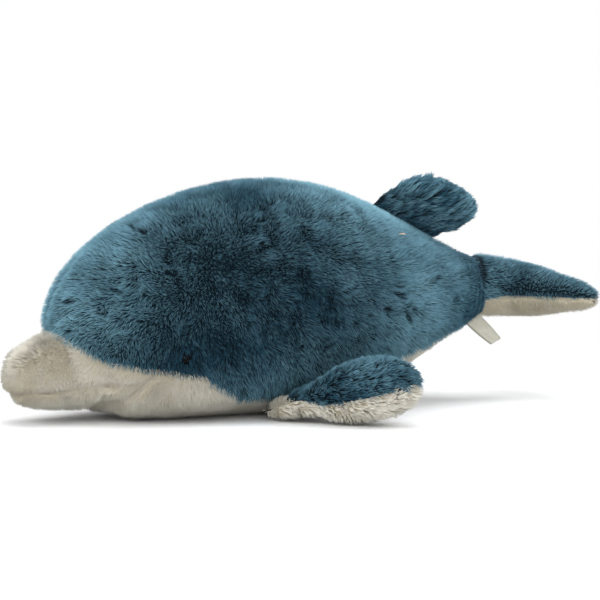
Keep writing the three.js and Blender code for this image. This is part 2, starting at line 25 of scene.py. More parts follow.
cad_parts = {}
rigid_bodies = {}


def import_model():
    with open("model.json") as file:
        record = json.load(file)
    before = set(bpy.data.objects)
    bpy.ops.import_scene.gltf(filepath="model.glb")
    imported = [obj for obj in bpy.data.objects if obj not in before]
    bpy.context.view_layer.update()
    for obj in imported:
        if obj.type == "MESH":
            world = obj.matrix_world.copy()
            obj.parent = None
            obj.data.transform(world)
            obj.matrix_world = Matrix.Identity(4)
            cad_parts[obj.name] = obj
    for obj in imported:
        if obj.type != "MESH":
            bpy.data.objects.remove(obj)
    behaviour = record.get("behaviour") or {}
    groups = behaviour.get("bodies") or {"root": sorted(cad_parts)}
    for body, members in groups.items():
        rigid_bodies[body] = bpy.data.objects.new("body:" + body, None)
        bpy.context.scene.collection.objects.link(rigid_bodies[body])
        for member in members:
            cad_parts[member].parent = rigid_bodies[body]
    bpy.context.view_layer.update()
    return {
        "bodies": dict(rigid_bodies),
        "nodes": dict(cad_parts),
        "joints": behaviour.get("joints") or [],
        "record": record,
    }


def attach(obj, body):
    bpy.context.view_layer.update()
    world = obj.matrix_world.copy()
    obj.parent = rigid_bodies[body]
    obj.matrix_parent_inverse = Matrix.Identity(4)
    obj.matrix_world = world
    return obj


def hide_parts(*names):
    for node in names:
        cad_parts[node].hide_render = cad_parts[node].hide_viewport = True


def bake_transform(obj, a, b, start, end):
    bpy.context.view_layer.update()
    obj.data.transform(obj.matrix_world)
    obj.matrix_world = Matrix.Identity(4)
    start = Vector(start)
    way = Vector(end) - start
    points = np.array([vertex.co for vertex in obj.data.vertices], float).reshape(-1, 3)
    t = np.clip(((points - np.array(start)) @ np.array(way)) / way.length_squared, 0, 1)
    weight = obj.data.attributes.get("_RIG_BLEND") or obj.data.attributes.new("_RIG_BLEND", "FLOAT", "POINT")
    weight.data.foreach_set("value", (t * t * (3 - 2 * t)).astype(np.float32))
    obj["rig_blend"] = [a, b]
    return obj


log = logging.getLogger("dolphin")

MM = 0.001
PILE_MAP = "OFBake"
PIECE_FACES = 190000

GRID = 4096
GRID_START = 1000
FOOT, TOP = 0.2, 0.8

Array = np.ndarray
Colour = tuple[float, float, float]
Term = Union["Wire", float]


def tint(red: int, green: int, blue: int) -> Colour:
    """A linear colour from the 0 to 255 values of a screen colour."""
    return tuple(
        (c / 255 / 12.92 if c / 255 <= 0.04045 else ((c / 255 + 0.055) / 1.055) ** 2.4) for c in (red, green, blue)
    )


def smooth(low: float, high: float, values: Array) -> Array:
    """A smooth step of the values from 0 at low to 1 at high."""
    share = np.clip((values - low) / (high - low), 0.0, 1.0)
    return share * share * (3.0 - 2.0 * share)


def ease(low: float, high: float, lengths: Array) -> Array:
    """A smooth step of lengths in metres, from 0 at low to 1 at high, which are in millimetres."""
    return smooth(low * MM, high * MM, lengths)


def bell(*parts: tuple[Array, float, float]) -> Array:
    """A soft bump, 1 at its middle.

    Args:
        *parts: For each way across it the lengths in metres, and its middle and width in millimetres.

    Returns:
        The height of the bump at each place.
    """
    return np.exp(-sum(((lengths - middle * MM) / (width * MM)) ** 2 for lengths, middle, width in parts))


def unit(vectors: Array) -> Array:
    """The rows of an array, each made one long."""
    return vectors / np.maximum(np.linalg.norm(vectors, axis=-1, keepdims=True), 1e-9)


def thinned(points: Array, size: float) -> Array:
    """The indices of one point in each cube of a grid, the first that lies in it."""
    cell = np.floor(points / size + GRID_START).astype(np.int64)
    key = (cell[:, 0] * GRID + cell[:, 1]) * GRID + cell[:, 2]
    return np.unique(key, return_index=True)[1]


class Ripple:
    """Smooth random waves through space, about one high, for lumps, brushed patches and tones."""

    def __init__(self, wavelength: float, seed: int, waves: int = 14) -> None:
        """Draws the waves.

        Args:
            wavelength: The usual distance between two crests.
            seed: Fixes the waves, so that each run gives the same ones.
            waves: How many plane waves are summed.
        """
        source = np.random.default_rng(seed)
        spread = source.uniform(0.6, 1.5, (waves, 1))
        self._ways = unit(source.normal(size=(waves, 3))) * (2 * math.pi / wavelength) * spread
        self._phases = source.uniform(0, 2 * math.pi, waves)

    def __call__(self, points: Array) -> Array:
        """The height of the waves at each point."""
        return np.sin(points @ self._ways.T + self._phases).sum(axis=1) / math.sqrt(len(self._phases) / 2)


# ---- shader nodes


class Wire:
    """A value in a material's nodes, on which Python arithmetic adds Math nodes."""

    def __init__(self, recipe: Recipe, socket: bpy.types.NodeSocket) -> None:
        """Wraps an output socket of the recipe's node tree."""
        self.recipe = recipe
        self.socket = socket

    def _maths(self, operation: str, first: Term, second: Term) -> Wire:
        """One Math node on two terms."""
        return self.recipe.add("ShaderNodeMath", {"operation": operation}, {0: first, 1: second})

    def __add__(self, other: Term) -> Wire:
        """Sum."""
        return self._maths("ADD", self, other)

    __radd__ = __add__

    def __sub__(self, other: Term) -> Wire:
        """Difference."""
        return self._maths("SUBTRACT", self, other)

    def __mul__(self, other: Term) -> Wire:
        """Product."""
        return self._maths("MULTIPLY", self, other)

    def wave(self, pitch: float) -> Wire:
        """A sine of the value, from 0 to 1, that repeats every pitch."""
        turn = self.recipe.add("ShaderNodeMath", {"operation": "SINE"}, {0: self * (2 * math.pi / pitch)})
        return turn * 0.5 + 0.5

    def step(self, low: float, high: float) -> Wire:
        """A smooth step from 0 at low to 1 at high."""
        settings = {"interpolation_type": "SMOOTHSTEP", "clamp": True}
        return self.recipe.add("ShaderNodeMapRange", settings, {"Value": self, "From Min": low, "From Max": high})


class Recipe:
    """A material under construction: its node tree, and the one method that adds a node to it."""

    def __init__(self, name: str) -> None:
        """Starts a material with an empty node tree and an output."""
        self.material = bpy.data.materials.new(name)
        self.material.use_nodes = True
        self.tree = self.material.node_tree
        self.tree.nodes.clear()
        self.output = self.tree.nodes.new("ShaderNodeOutputMaterial")

    def add(self, kind: str, settings: dict[str, Any] | None = None, inputs: dict[Any, Any] | None = None,
            output: str | int = 0) -> Wire:
        """Adds a node.

        Args:
            kind: The node's type.
            settings: Its properties, set before its sockets.
            inputs: Values or wires for its sockets, by name or number.
            output: Which of its outputs is wanted.

        Returns:
            A wire on that output.
        """
        node = self.tree.nodes.new(kind)
        for key, value in (settings or {}).items():
            setattr(node, key, value)
        for key, value in (inputs or {}).items():
            if isinstance(value, Wire):
                self.tree.links.new(value.socket, node.inputs[key])
            else:
                node.inputs[key].default_value = self._padded(node.inputs[key], value)
        return Wire(self, node.outputs[output])

    @staticmethod
    def _padded(socket: bpy.types.NodeSocket, value: Any) -> Any:
        """A three-part colour with its alpha, where the socket takes one."""
        return (*value, 1.0) if socket.type == "RGBA" and len(value) == 3 else value

    def place(self) -> Wire:
        """The point on the surface, in the object's own coordinates."""
        return self.add("ShaderNodeTexCoord", output="Object")

    def part(self, vector: Wire, axis: str) -> Wire:
        """One part of a vector."""
        return self.add("ShaderNodeSeparateXYZ", None, {0: vector}, axis)

    def noise(self, scale: float, detail: float = 3.0, roughness: float = 0.55) -> Wire:
        """A noise from 0 to 1 over the surface.

        Args:
            scale: Its features per metre.
            detail: Its octaves.
            roughness: How strong the finer octaves are.

        Returns:
            A wire with the noise.
        """
        inputs = {"Vector": self.place(), "Scale": scale, "Detail": detail, "Roughness": roughness}
        return self.add("ShaderNodeTexNoise", None, inputs)

    def blend(self, share: Term, first: Colour | Wire, second: Colour | Wire) -> Wire:
        """A mix of two colours, the first where share is 0."""
        return self.add("ShaderNodeMix", {"data_type": "RGBA"}, {0: share, 6: first, 7: second}, 2)

    def bump(self, height: Wire, depth: float) -> Wire:
        """A surface normal bent by a height from 0 to 1, of the given depth."""
        return self.add("ShaderNodeBump", None, {"Strength": 1.0, "Distance": depth, "Height": height})

    def surface(self, **inputs: Any) -> Material:
        """Closes the material with a Principled shader.

        Args:
            **inputs: The shader's sockets, with underscores for the spaces in their names.

        Returns:
            The finished material.
        """
        named = {key.replace("_", " "): value for key, value in inputs.items()}
        shader = self.add("ShaderNodeBsdfPrincipled", None, named)
        self.tree.links.new(shader.socket, self.output.inputs["Surface"])
        return self.material


# ---- finishes


@dataclass(frozen=True)
class Finish:
    """A material that is made once, under its own name."""

    name: str

    def material(self) -> Material:
        """The finish's material."""
        return bpy.data.materials.get(self.name) or self.mixed(Recipe(self.name))

    def mixed(self, recipe: Recipe) -> Material:
        """Makes the material; each finish says how."""
        raise NotImplementedError


@dataclass(frozen=True)
class PileFinish(Finish):
    """Pile with its colour read from the strand's own map: darker at the root, which is painted shade deep in the pile,
    and at the tip between a shade and a light tone, which carry painted light and shade as well as random tone.
    """

    root: Colour
    shade: Colour
    light: Colour
    sheen: float
    glow: Colour
    dark: float

    def mixed(self, recipe: Recipe) -> Material:
        """Reads the tone and the height of each point from the map."""
        spot = recipe.add("ShaderNodeUVMap", {"uv_map": PILE_MAP})
        tone, height = recipe.part(spot, "X"), recipe.part(spot, "Y")
        # The tone runs from the shade colour to the light one. It carries the painted light and shade of each part,
        # with random tone.
        tip = recipe.blend(tone, self.shade, self.light)
        # Towards the root each strand darkens to the root colour, painted shade deep in the pile.
        colour = recipe.blend(height.step(self.dark, 1.0), self.root, tip)
        return recipe.surface(Base_Color=colour, Roughness=0.8, Specular_IOR_Level=0.12, Sheen_Weight=self.sheen,
                              Sheen_Roughness=0.45, Sheen_Tint=self.glow)


@dataclass(frozen=True)
class BackingFinish(Finish):
    """The knitted ground that the pile stands in."""

    dark: Colour
    light: Colour
    wale: float = 1.4 * MM
    course: float = 1.1 * MM

    def mixed(self, recipe: Recipe) -> Material:
        """Knits the ground in wales and courses, and wears it a little."""
        place = recipe.place()
        knit = recipe.part(place, "X").wave(self.wale) * recipe.part(place, "Z").wave(self.course)
        worn = recipe.noise(160.0)
        colour = recipe.blend(knit * 0.5 + worn * 0.5, self.dark, self.light)
        return recipe.surface(Base_Color=colour, Roughness=0.9, Specular_IOR_Level=0.1,
                              Normal=recipe.bump(knit, 0.25 * MM))


@dataclass(frozen=True)
class FibreFinish(Finish):
    """Fibres in two tones, tufted or twisted: the white filling, and the beige sewing thread."""

    dark: Colour
    light: Colour
    scale: float
    detail: float
    strength: float
    rough: float
    sheen: float
    relief: float

    def mixed(self, recipe: Recipe) -> Material:
        """Lets one noise set both the tone and the relief."""
        tufts = recipe.noise(self.scale, self.detail, self.strength)
        colour = recipe.blend(tufts, self.dark, self.light)
        return recipe.surface(Base_Color=colour, Roughness=self.rough, Sheen_Weight=self.sheen,
                              Normal=recipe.bump(tufts, self.relief))


WADDING = FibreFinish("fibre_wadding", tint(196, 192, 184), tint(246, 244, 238), 90.0, 6.0, 0.7, 0.95, 0.3, 2.0 * MM)
THREAD = FibreFinish("beige_thread", tint(150, 122, 100), tint(222, 200, 176), 1500.0, 2.0, 0.55, 0.7, 0.0, 0.1 * MM)


@dataclass(frozen=True)
class EyeFinish(Finish):
    """Polished black plastic with a little lint and haze."""

    name: str = "polished_black_eye"

    def mixed(self, recipe: Recipe) -> Material:
        """Clouds the black with haze and specks it with lint."""
        haze = recipe.noise(420.0, 4.0)
        lint = recipe.noise(1900.0, 2.0).step(0.68, 0.74)
        colour = recipe.blend(haze * 0.5 + lint * 0.3, tint(2, 2, 3), tint(11, 12, 14))
        return recipe.surface(Base_Color=colour, Roughness=0.14 + haze * 0.12, Specular_IOR_Level=0.06)


@dataclass(frozen=True)
class WasherFinish(Finish):
    """Moulded white nylon with the fine grain of its mould."""

    name: str = "moulded_white_washer"

    def mixed(self, recipe: Recipe) -> Material:
        """Clouds the white and grains its surface."""
        cloud, grain = recipe.noise(300.0, 4.0), recipe.noise(2600.0, 2.0)
        colour = recipe.blend(cloud, tint(206, 203, 194), tint(232, 230, 224))
        return recipe.surface(Base_Color=colour, Roughness=0.42 + cloud * 0.12,
                              Normal=recipe.bump(grain, 0.03 * MM))


@dataclass(frozen=True)
class RibbonFinish(Finish):
    """Blank woven ribbon, with its two sets of threads and a firmer edge, on the ribbon's own map in metres."""

    width: float
    weave: str = "weave"
    warp: float = 0.55 * MM
    weft: float = 0.8 * MM

    def mixed(self, recipe: Recipe) -> Material:
        """Weaves the ribbon, soils it a little and firms its edges."""
        spot = recipe.add("ShaderNodeUVMap", {"uv_map": self.weave})
        across, along = recipe.part(spot, "X"), recipe.part(spot, "Y")
        threads = across.wave(self.warp) * 0.4 + along.wave(self.weft) * 0.6
        off = across - self.width / 2
        border = (off * off).step((self.width / 2 - 1.6 * MM) ** 2, (self.width / 2 - 0.8 * MM) ** 2)
        blotch = recipe.noise(140.0, 4.0)
        colour = recipe.blend(threads * 0.45 + blotch * 0.55, tint(158, 154, 136), tint(212, 209, 194))
        rimmed = recipe.blend(border * 0.5, colour, tint(160, 156, 140))
        return recipe.surface(Base_Color=rimmed, Roughness=0.62, Sheen_Weight=0.2,
                              Normal=recipe.bump(threads + border * 0.8, 0.12 * MM))


class Cloth(Enum):
    """The two pile fabrics that the toy is cut from, named for their material slots."""

    BLUE = "blue_plush"
    WHITE = "white_plush"

    @property
    def pile(self) -> PileFinish:
        """The finish of this fabric's pile."""
        # The root colours are painted shade deep in the pile. The tip tones run from a shade colour to a light colour.
        if self is Cloth.BLUE:
            return PileFinish("blue_pile", tint(7, 20, 29), tint(34, 76, 96), tint(150, 202, 220), 0.4,
                              tint(150, 195, 210), 0.16)
        return PileFinish("white_pile", tint(206, 196, 172), tint(172, 165, 146), tint(245, 242, 231), 0.2,
                          tint(240, 236, 225), 0.0)

    @property
    def soft(self) -> float:
        """How far the light falls on the pile as a whole, not on each strand."""
        return 0.4 if self is Cloth.BLUE else 0.9

    @property
    def uneven(self) -> float:
        """How much the tone of one strand or lock may differ from the next."""
        return 1.0 if self is Cloth.BLUE else 0.5

    @property
    def ground(self) -> BackingFinish:
        """The finish of this fabric's knitted ground."""
        if self is Cloth.BLUE:
            # The blue ground stands for the knitted backing. Its dark colour is painted shade in the gaps between the
            # strands.
            return BackingFinish("blue_ground", tint(12, 22, 30), tint(24, 40, 50))
        return BackingFinish("white_ground", tint(204, 195, 172), tint(224, 217, 198))


# ---- mesh helpers


def rows_of(items: Any, key: str) -> Array:
    """A vector of each item of a mesh, one row each."""
    flat = np.empty(len(items) * 3, np.float32)
    items.foreach_get(key, flat)
    return flat.reshape(-1, 3).astype(float)


def points_of(mesh: Mesh) -> Array:
    """The places of a mesh's vertices."""
    return rows_of(mesh.vertices, "co")


def normals_of(mesh: Mesh) -> Array:
    """The normals of a mesh's vertices."""
    return rows_of(mesh.vertex_normals, "vector")


def closed_off(work: bmesh.types.BMesh, name: str) -> Mesh:
    """A mesh from a finished bmesh, which is freed."""
    mesh = bpy.data.meshes.new(name)
    work.to_mesh(mesh)
    work.free()
    return mesh


def move_to(mesh: Mesh, points: Array) -> None:
    """Moves a mesh's vertices to new places."""
    mesh.vertices.foreach_set("co", np.ascontiguousarray(points, np.float32).ravel())
    mesh.update()


def placed(name: str, data: Any) -> Object:
    """Puts a new object for some data in the scene."""
    made = bpy.data.objects.new(name, data)
    bpy.context.scene.collection.objects.link(made)
    return made


def turned_to(way: Any) -> Matrix:
    """The turn that lays the Z axis along a way."""
    return Vector((0, 0, 1)).rotation_difference(Vector(way)).to_matrix().to_4x4()


def aimed(holder: Object, target: Vector) -> None:
    """Turns a lamp or camera to look at a place."""
    holder.rotation_euler = (target - holder.location).to_track_quat("-Z", "Y").to_euler()


def shown(name: str, mesh: Mesh, material: Material) -> Object:
    """Puts a mesh in the scene, smooth shaded and in one material.

    Args:
        name: The piece's name.
        mesh: Its mesh, already in place.
        material: Its finish.

    Returns:
        The piece.
    """
    mesh.name = name
    mesh.materials.clear()
    mesh.materials.append(material)
    mesh.shade_smooth()
    return placed(name, mesh)


def with_modifier(mesh: Mesh, kind: str, **settings: Any) -> Mesh:
    """A copy of a mesh with one modifier applied.

    Args:
        mesh: The mesh to start from.
        kind: The modifier's type.
        **settings: Its properties.

    Returns:
        The changed copy.
    """
    carrier = placed("carrier", mesh)
    modifier = carrier.modifiers.new("work", kind)
    for key, value in settings.items():
        setattr(modifier, key, value)
    graph = bpy.context.evaluated_depsgraph_get()
    changed = bpy.data.meshes.new_from_object(carrier.evaluated_get(graph))
    bpy.data.objects.remove(carrier)
    return changed


def smoothed(mesh: Mesh, rounds: int) -> None:
    """Evens out a mesh in place by so many rounds of smoothing."""
    work = bmesh.new()
    work.from_mesh(mesh)
    for _ in range(rounds):
        bmesh.ops.smooth_vert(work, verts=work.verts, factor=0.5, use_axis_x=True, use_axis_y=True, use_axis_z=True)
    work.to_mesh(mesh)
    work.free()


def surface_of(mesh: Mesh) -> BVHTree:
    """A search tree over a mesh's faces."""
    mesh.calc_loop_triangles()
    return BVHTree.FromPolygons([v.co for v in mesh.vertices], [t.vertices for t in mesh.loop_triangles])


def evened(mesh: Mesh, values: Array, rounds: int) -> Array:
    """Averages a value on each vertex with those of its neighbours.

    Args:
        mesh: The mesh.
        values: One value a vertex.
        rounds: How many times they are averaged.

    Returns:
        The evened values.
    """
    ends = np.empty(len(mesh.edges) * 2, np.int32)
    mesh.edges.foreach_get("vertices", ends)
    first, second = ends.reshape(-1, 2).T
    degree = np.maximum(np.bincount(ends, minlength=len(values)), 1)
    for _ in range(rounds):
        around = np.bincount(first, values[second], len(values)) + np.bincount(second, values[first], len(values))
        values = (values + around / degree) / 2
    return values


def thickness_of(mesh: Mesh) -> Array:
    """How thick a closed form is below each of its vertices."""
    surface = surface_of(mesh)
    through = [surface.ray_cast(Vector(point - normal * 0.2 * MM), Vector(-normal))[3] or 0.1
               for point, normal in zip(points_of(mesh), normals_of(mesh))]
    return evened(mesh, np.minimum(through, 0.1), 2)


def faired(mesh: Mesh, rounds: int, share: Array) -> None:
    """Evens out a mesh in place, then brings it back out to where its surface was on the whole.

    Args:
        mesh: A closed mesh.
        rounds: How many rounds of smoothing it gets.
        share: How much of that smoothing each vertex takes.
    """
    surface, start = surface_of(mesh), points_of(mesh)
    smoothed(mesh, rounds)
    move_to(mesh, start + (points_of(mesh) - start) * share[:, None])
    for _ in range(3):
        points, normals = points_of(mesh), normals_of(mesh)
        nearest = np.array([surface.find_nearest(point)[0] for point in points])
        lost = evened(mesh, ((nearest - points) * normals).sum(axis=1), 5)
        move_to(mesh, points + normals * lost[:, None])


def level_out(mesh: Mesh, rounds: int, share: Array) -> None:
    """Fills the hollows of a mesh in place and leaves its crests.

    Args:
        mesh: A closed mesh.
        rounds: How many rounds of smoothing find the hollows.
        share: How far each vertex is moved out to that level.
    """
    start, normals = points_of(mesh), normals_of(mesh)
    smoothed(mesh, rounds)
    rise = ((points_of(mesh) - start) * normals).sum(axis=1)
    move_to(mesh, start + normals * (np.maximum(rise, 0.0) * share)[:, None])


# ---- pile


@dataclass
class Comb:
    """How each strand of a patch of pile lies: rows match the strands' roots."""

    length: Array
    lean: Array
    way: Array
    tone: Array
    gather: Array
    keep: Array


@dataclass(frozen=True)
class Strand:
    """The shape that all strands share: a three-sided spike from root to tip, straight or with one bend."""

    radius: float = 0.5 * MM
    bent: bool = False
    bend: float = 0.55
    sunk: float = 0.6 * MM
    spread: float = 0.012
    stray: float = 0.12
    sway: float = 0.13
    lengths: tuple[float, float] = (0.88, 1.06)
    curl: float = 0.3
    follow: float = 0.35

    def template(self) -> tuple[Array, Array]:
        """The spike's corners, as round, round and height, and its triangles."""
        work = bmesh.new()
        bmesh.ops.create_cone(work, cap_ends=True, segments=3, radius1=1.0, radius2=0.0, depth=1.0)
        bmesh.ops.remove_doubles(work, verts=work.verts, dist=1e-4)
        if self.bent:
            sides = [e for e in work.edges if abs(e.verts[0].co.z - e.verts[1].co.z) > 0.5]
            bmesh.ops.subdivide_edges(work, edges=sides, cuts=1, use_grid_fill=True)
        bmesh.ops.triangulate(work, faces=work.faces)
        work.verts.index_update()
        corners = np.array([v.co for v in work.verts])
        triangles = np.array([[v.index for v in f.verts] for f in work.faces])
        work.free()
        corners[:, 2] += 0.5
        corners[:, :2] = unit(corners[:, :2]) * (corners[:, 2:] < 0.99)
        return corners, triangles


@dataclass
class Coat:
    """The pile on one panel, grown as strands from its ground."""

    name: str
    cloth: Cloth
    spacing: float
    clump_size: float
    seed: int
    floor: float = 0.4 * MM
    strand: Strand = field(default_factory=Strand)
    grain: tuple[float, float, float] = (0.0, 0.0, 0.0)
    wander: float = 0.28
    contrast: float = 1.0
    lift: float = 0.0
    tries: int = 6
    drawn_out: float = 0.72
    clump_tone: float = 0.07
    own_tone: float = 0.04

    def scatter(self, mesh: Mesh, extra: Array) -> tuple[Array, Array, Array]:
        """Spreads roots evenly over a ground.

        Args:
            mesh: The open ground of one panel.
            extra: A value on each of its vertices, carried over to the roots.

        Returns:
            The roots, the ground's normals there and the carried values.
        """
        source = np.random.default_rng(self.seed)
        points, normals = points_of(mesh), normals_of(mesh)
        mesh.calc_loop_triangles()
        corner = np.empty(len(mesh.loop_triangles) * 3, np.int32)
        mesh.loop_triangles.foreach_get("vertices", corner)
        corner = corner.reshape(-1, 3)
        a, b, c = (points[corner[:, k]] for k in range(3))
        area = np.linalg.norm(np.cross(b - a, c - a), axis=1) / 2
        count = int(self.tries * area.sum() / self.spacing ** 2)
        pick = corner[source.choice(len(area), count, p=area / area.sum())]
        share = source.random((count, 2))
        share = np.where(share.sum(axis=1, keepdims=True) > 1, 1 - share, share)
        weight = np.column_stack([1 - share.sum(axis=1), share])[:, :, None]
        roots = (points[pick] * weight).sum(axis=1)
        kept = thinned(roots, self.spacing)
        carried = (extra[pick] * weight[:, :, 0]).sum(axis=1)
        return roots[kept], unit((normals[pick] * weight).sum(axis=1))[kept], carried[kept]

    def _clumped(self, roots: Array, tips: Array,
                 source: np.random.Generator) -> tuple[Array, Array]:
        """Draws tips towards those of scattered leaders.

        Args:
            roots: The strands' roots.
            tips: The strands' tips.
            source: The seeded random numbers.

        Returns:
            The shift of each tip, and a tone for each strand that its clump shares.
        """
        drawn = roots - np.outer(roots @ np.array(self.grain), self.grain) * self.drawn_out
        leaders = thinned(drawn, self.clump_size)
        tree = KDTree(len(leaders))
        for index, leader in enumerate(leaders):
            tree.insert(drawn[leader], index)
        tree.balance()
        own = np.array([tree.find(root)[1] for root in drawn])
        tones = source.normal(0, 1, len(leaders))
        shift = tips[leaders[own]] - tips
        return shift - np.outer(shift @ np.array(self.grain), self.grain), tones[own]

    def grow(self, roots: Array, normals: Array, comb: Comb) -> list[Object]:
        """Grows the strands, in as many pieces as keep each of them light.

        Args:
            roots: Where the strands stand.
            normals: The ground's normals there.
            comb: How they lie.

        Returns:
            The pieces of pile, each with its map of tone and height.
        """
        source = np.random.default_rng(self.seed + 1)
        roots, normals = roots[comb.keep], normals[comb.keep]
        length, lean, way, tone, gather = (
            a[comb.keep] for a in (comb.length, comb.lean, comb.way, comb.tone, comb.gather))
        count = len(roots)
        flat = unit(way - (way * normals).sum(axis=1, keepdims=True) * normals
                    + source.normal(0, self.strand.stray, (count, 3)))
        flat = unit(flat - (flat * normals).sum(axis=1, keepdims=True) * normals)
        side = np.cross(normals, flat)
        turn = source.normal(0, self.wander, (count, 1))
        flat, side = flat * np.cos(turn) + side * np.sin(turn), side * np.cos(turn) - flat * np.sin(turn)
        tilt = (np.radians(lean) + source.normal(0, self.strand.sway, count))[:, None]
        length = (length * source.uniform(*self.strand.lengths, count))[:, None]
        rise = normals * np.cos(tilt) + flat * np.sin(tilt)
        middle = roots + rise * length * self.strand.bend
        tips = middle + unit(rise + flat * self.strand.curl) * length * (1 - self.strand.bend)
        shift, shared = self._clumped(roots, tips, source)
        shift = shift * gather[:, None]
        tips, middle = tips + shift, middle + shift * self.strand.follow
        mixed = shared * self.clump_tone * self.contrast + source.normal(0, self.own_tone, count)
        tone = np.clip(tone + mixed * self.cloth.uneven, 0.03, 0.97)
        corners, triangles = self.strand.template()
        angle, height = np.arctan2(corners[:, 1], corners[:, 0]), corners[:, 2]
        spin = source.uniform(0, 2 * math.pi, (count, 1))
        turned = angle[None, :] + spin
        thick = self.strand.radius * np.where(height < FOOT, 1.0, 0.82) * np.hypot(corners[:, 0], corners[:, 1])
        around = side[:, None] * np.cos(turned)[..., None] + np.cross(rise, side)[:, None] * np.sin(turned)[..., None]
        spine = np.where((height < FOOT)[None, :, None], (roots - rise * self.strand.sunk)[:, None],
                         np.where((height < TOP)[None, :, None], middle[:, None], tips[:, None]))
        body = spine + around * thick[None, :, None]
        body[..., 2] = np.maximum(body[..., 2], self.floor)
        across = np.where(height < TOP, np.round(np.sin(angle), 2), 0.0)
        up = np.clip(np.where(height < FOOT, 0.03 * np.abs(across), height), 0.0, 1.0)
        spots = np.stack([tone[:, None] + self.strand.spread * across[None, :],
                          np.broadcast_to(up, (count, len(up)))], axis=-1)
        own = around * np.where(height < TOP, 1.0, 0.0)[None, :, None]
        facing = own * (1 - self.cloth.soft) + normals[:, None] * self.cloth.soft
        facing = unit(facing + np.array([0.0, 0.0, self.lift if self.cloth is Cloth.WHITE else 0.0]))
        order = np.argsort(roots[:, 0])
        pieces = max(1, math.ceil(count * len(triangles) / PIECE_FACES))
        return [self._piece(body[part], spots[part], facing[part], triangles, index, pieces)
                for index, part in enumerate(np.array_split(order, pieces))]

    def _piece(self, body: Array, spots: Array, facing: Array, triangles: Array, index: int,
               pieces: int) -> Object:
        """One piece of pile from its strands' corners, map places, normals and shared triangles."""
        count, corners = body.shape[:2]
        loops = (triangles[None] + (np.arange(count) * corners)[:, None, None]).reshape(-1).astype(np.int32)
        mesh = bpy.data.meshes.new(self.name)
        mesh.vertices.add(count * corners)
        mesh.vertices.foreach_set("co", body.astype(np.float32).ravel())
        mesh.loops.add(len(loops))
        mesh.loops.foreach_set("vertex_index", loops)
        mesh.polygons.add(len(loops) // 3)
        mesh.polygons.foreach_set("loop_start", np.arange(0, len(loops), 3, dtype=np.int32))
        mesh.update(calc_edges=True)
        chart = mesh.uv_layers.new(name=PILE_MAP)
        chart.data.foreach_set("uv", spots.reshape(-1, 2)[loops].astype(np.float32).ravel())
        name = self.name if pieces == 1 else f"{self.name}_{index + 1}"
        piece = shown(name, mesh, self.cloth.pile.material())
        mesh.normals_split_custom_set_from_vertices(facing.reshape(-1, 3).tolist())
        return piece


# ---- stuffed forms


@dataclass(frozen=True)
class Puff:
    """How the cloth of a form is blown up: the pressure inside, the steps and the furthest that a point may go."""

    pressure: float = 26.0
    steps: int = 20
    cap: float = 1.2 * MM
    pinned: float = 4.0 * MM
    mass: float = 0.01

    def swell(self, mesh: Mesh, seam: Array) -> None:
        """Blows up a closed cloth that its seams hold back.

        Args:
            mesh: The cloth, changed in place.
            seam: Each vertex's distance from the nearest seam.
        """
        piece = placed("swelling", mesh)
        held = piece.vertex_groups.new(name="held")
        for index in np.flatnonzero(seam < self.pinned):
            held.add([int(index)], 1.0, "REPLACE")
        cloth = piece.modifiers.new("swell", "CLOTH")
        cloth.settings.quality = 5
        cloth.settings.mass = self.mass
        cloth.settings.use_pressure = True
        cloth.settings.uniform_pressure_force = self.pressure
        cloth.settings.vertex_group_mass = held.name
        cloth.settings.effector_weights.gravity = 0.0
        cloth.point_cache.frame_start = 1
        cloth.point_cache.frame_end = self.steps
        before, normals = points_of(mesh), normals_of(mesh)
        for frame in range(1, self.steps + 1):
            bpy.context.scene.frame_set(frame)
        graph = bpy.context.evaluated_depsgraph_get()
        moved = points_of(piece.evaluated_get(graph).data) - before
        rise = (moved * normals).sum(axis=1)
        most = np.quantile(rise[seam > self.pinned], 0.9)
        moved = moved * min(2.5, max(0.3, self.cap / max(most, 1e-6)))
        far = np.linalg.norm(moved, axis=1, keepdims=True)
        move_to(mesh, before + moved * np.minimum(1.0, 1.4 * self.cap / np.maximum(far, 1e-9)))
        bpy.data.objects.remove(piece)
        bpy.context.scene.frame_set(1)
        log.info("cloth rose by up to %.2f mm, drawn to %.1f mm", most / MM, self.cap / MM)


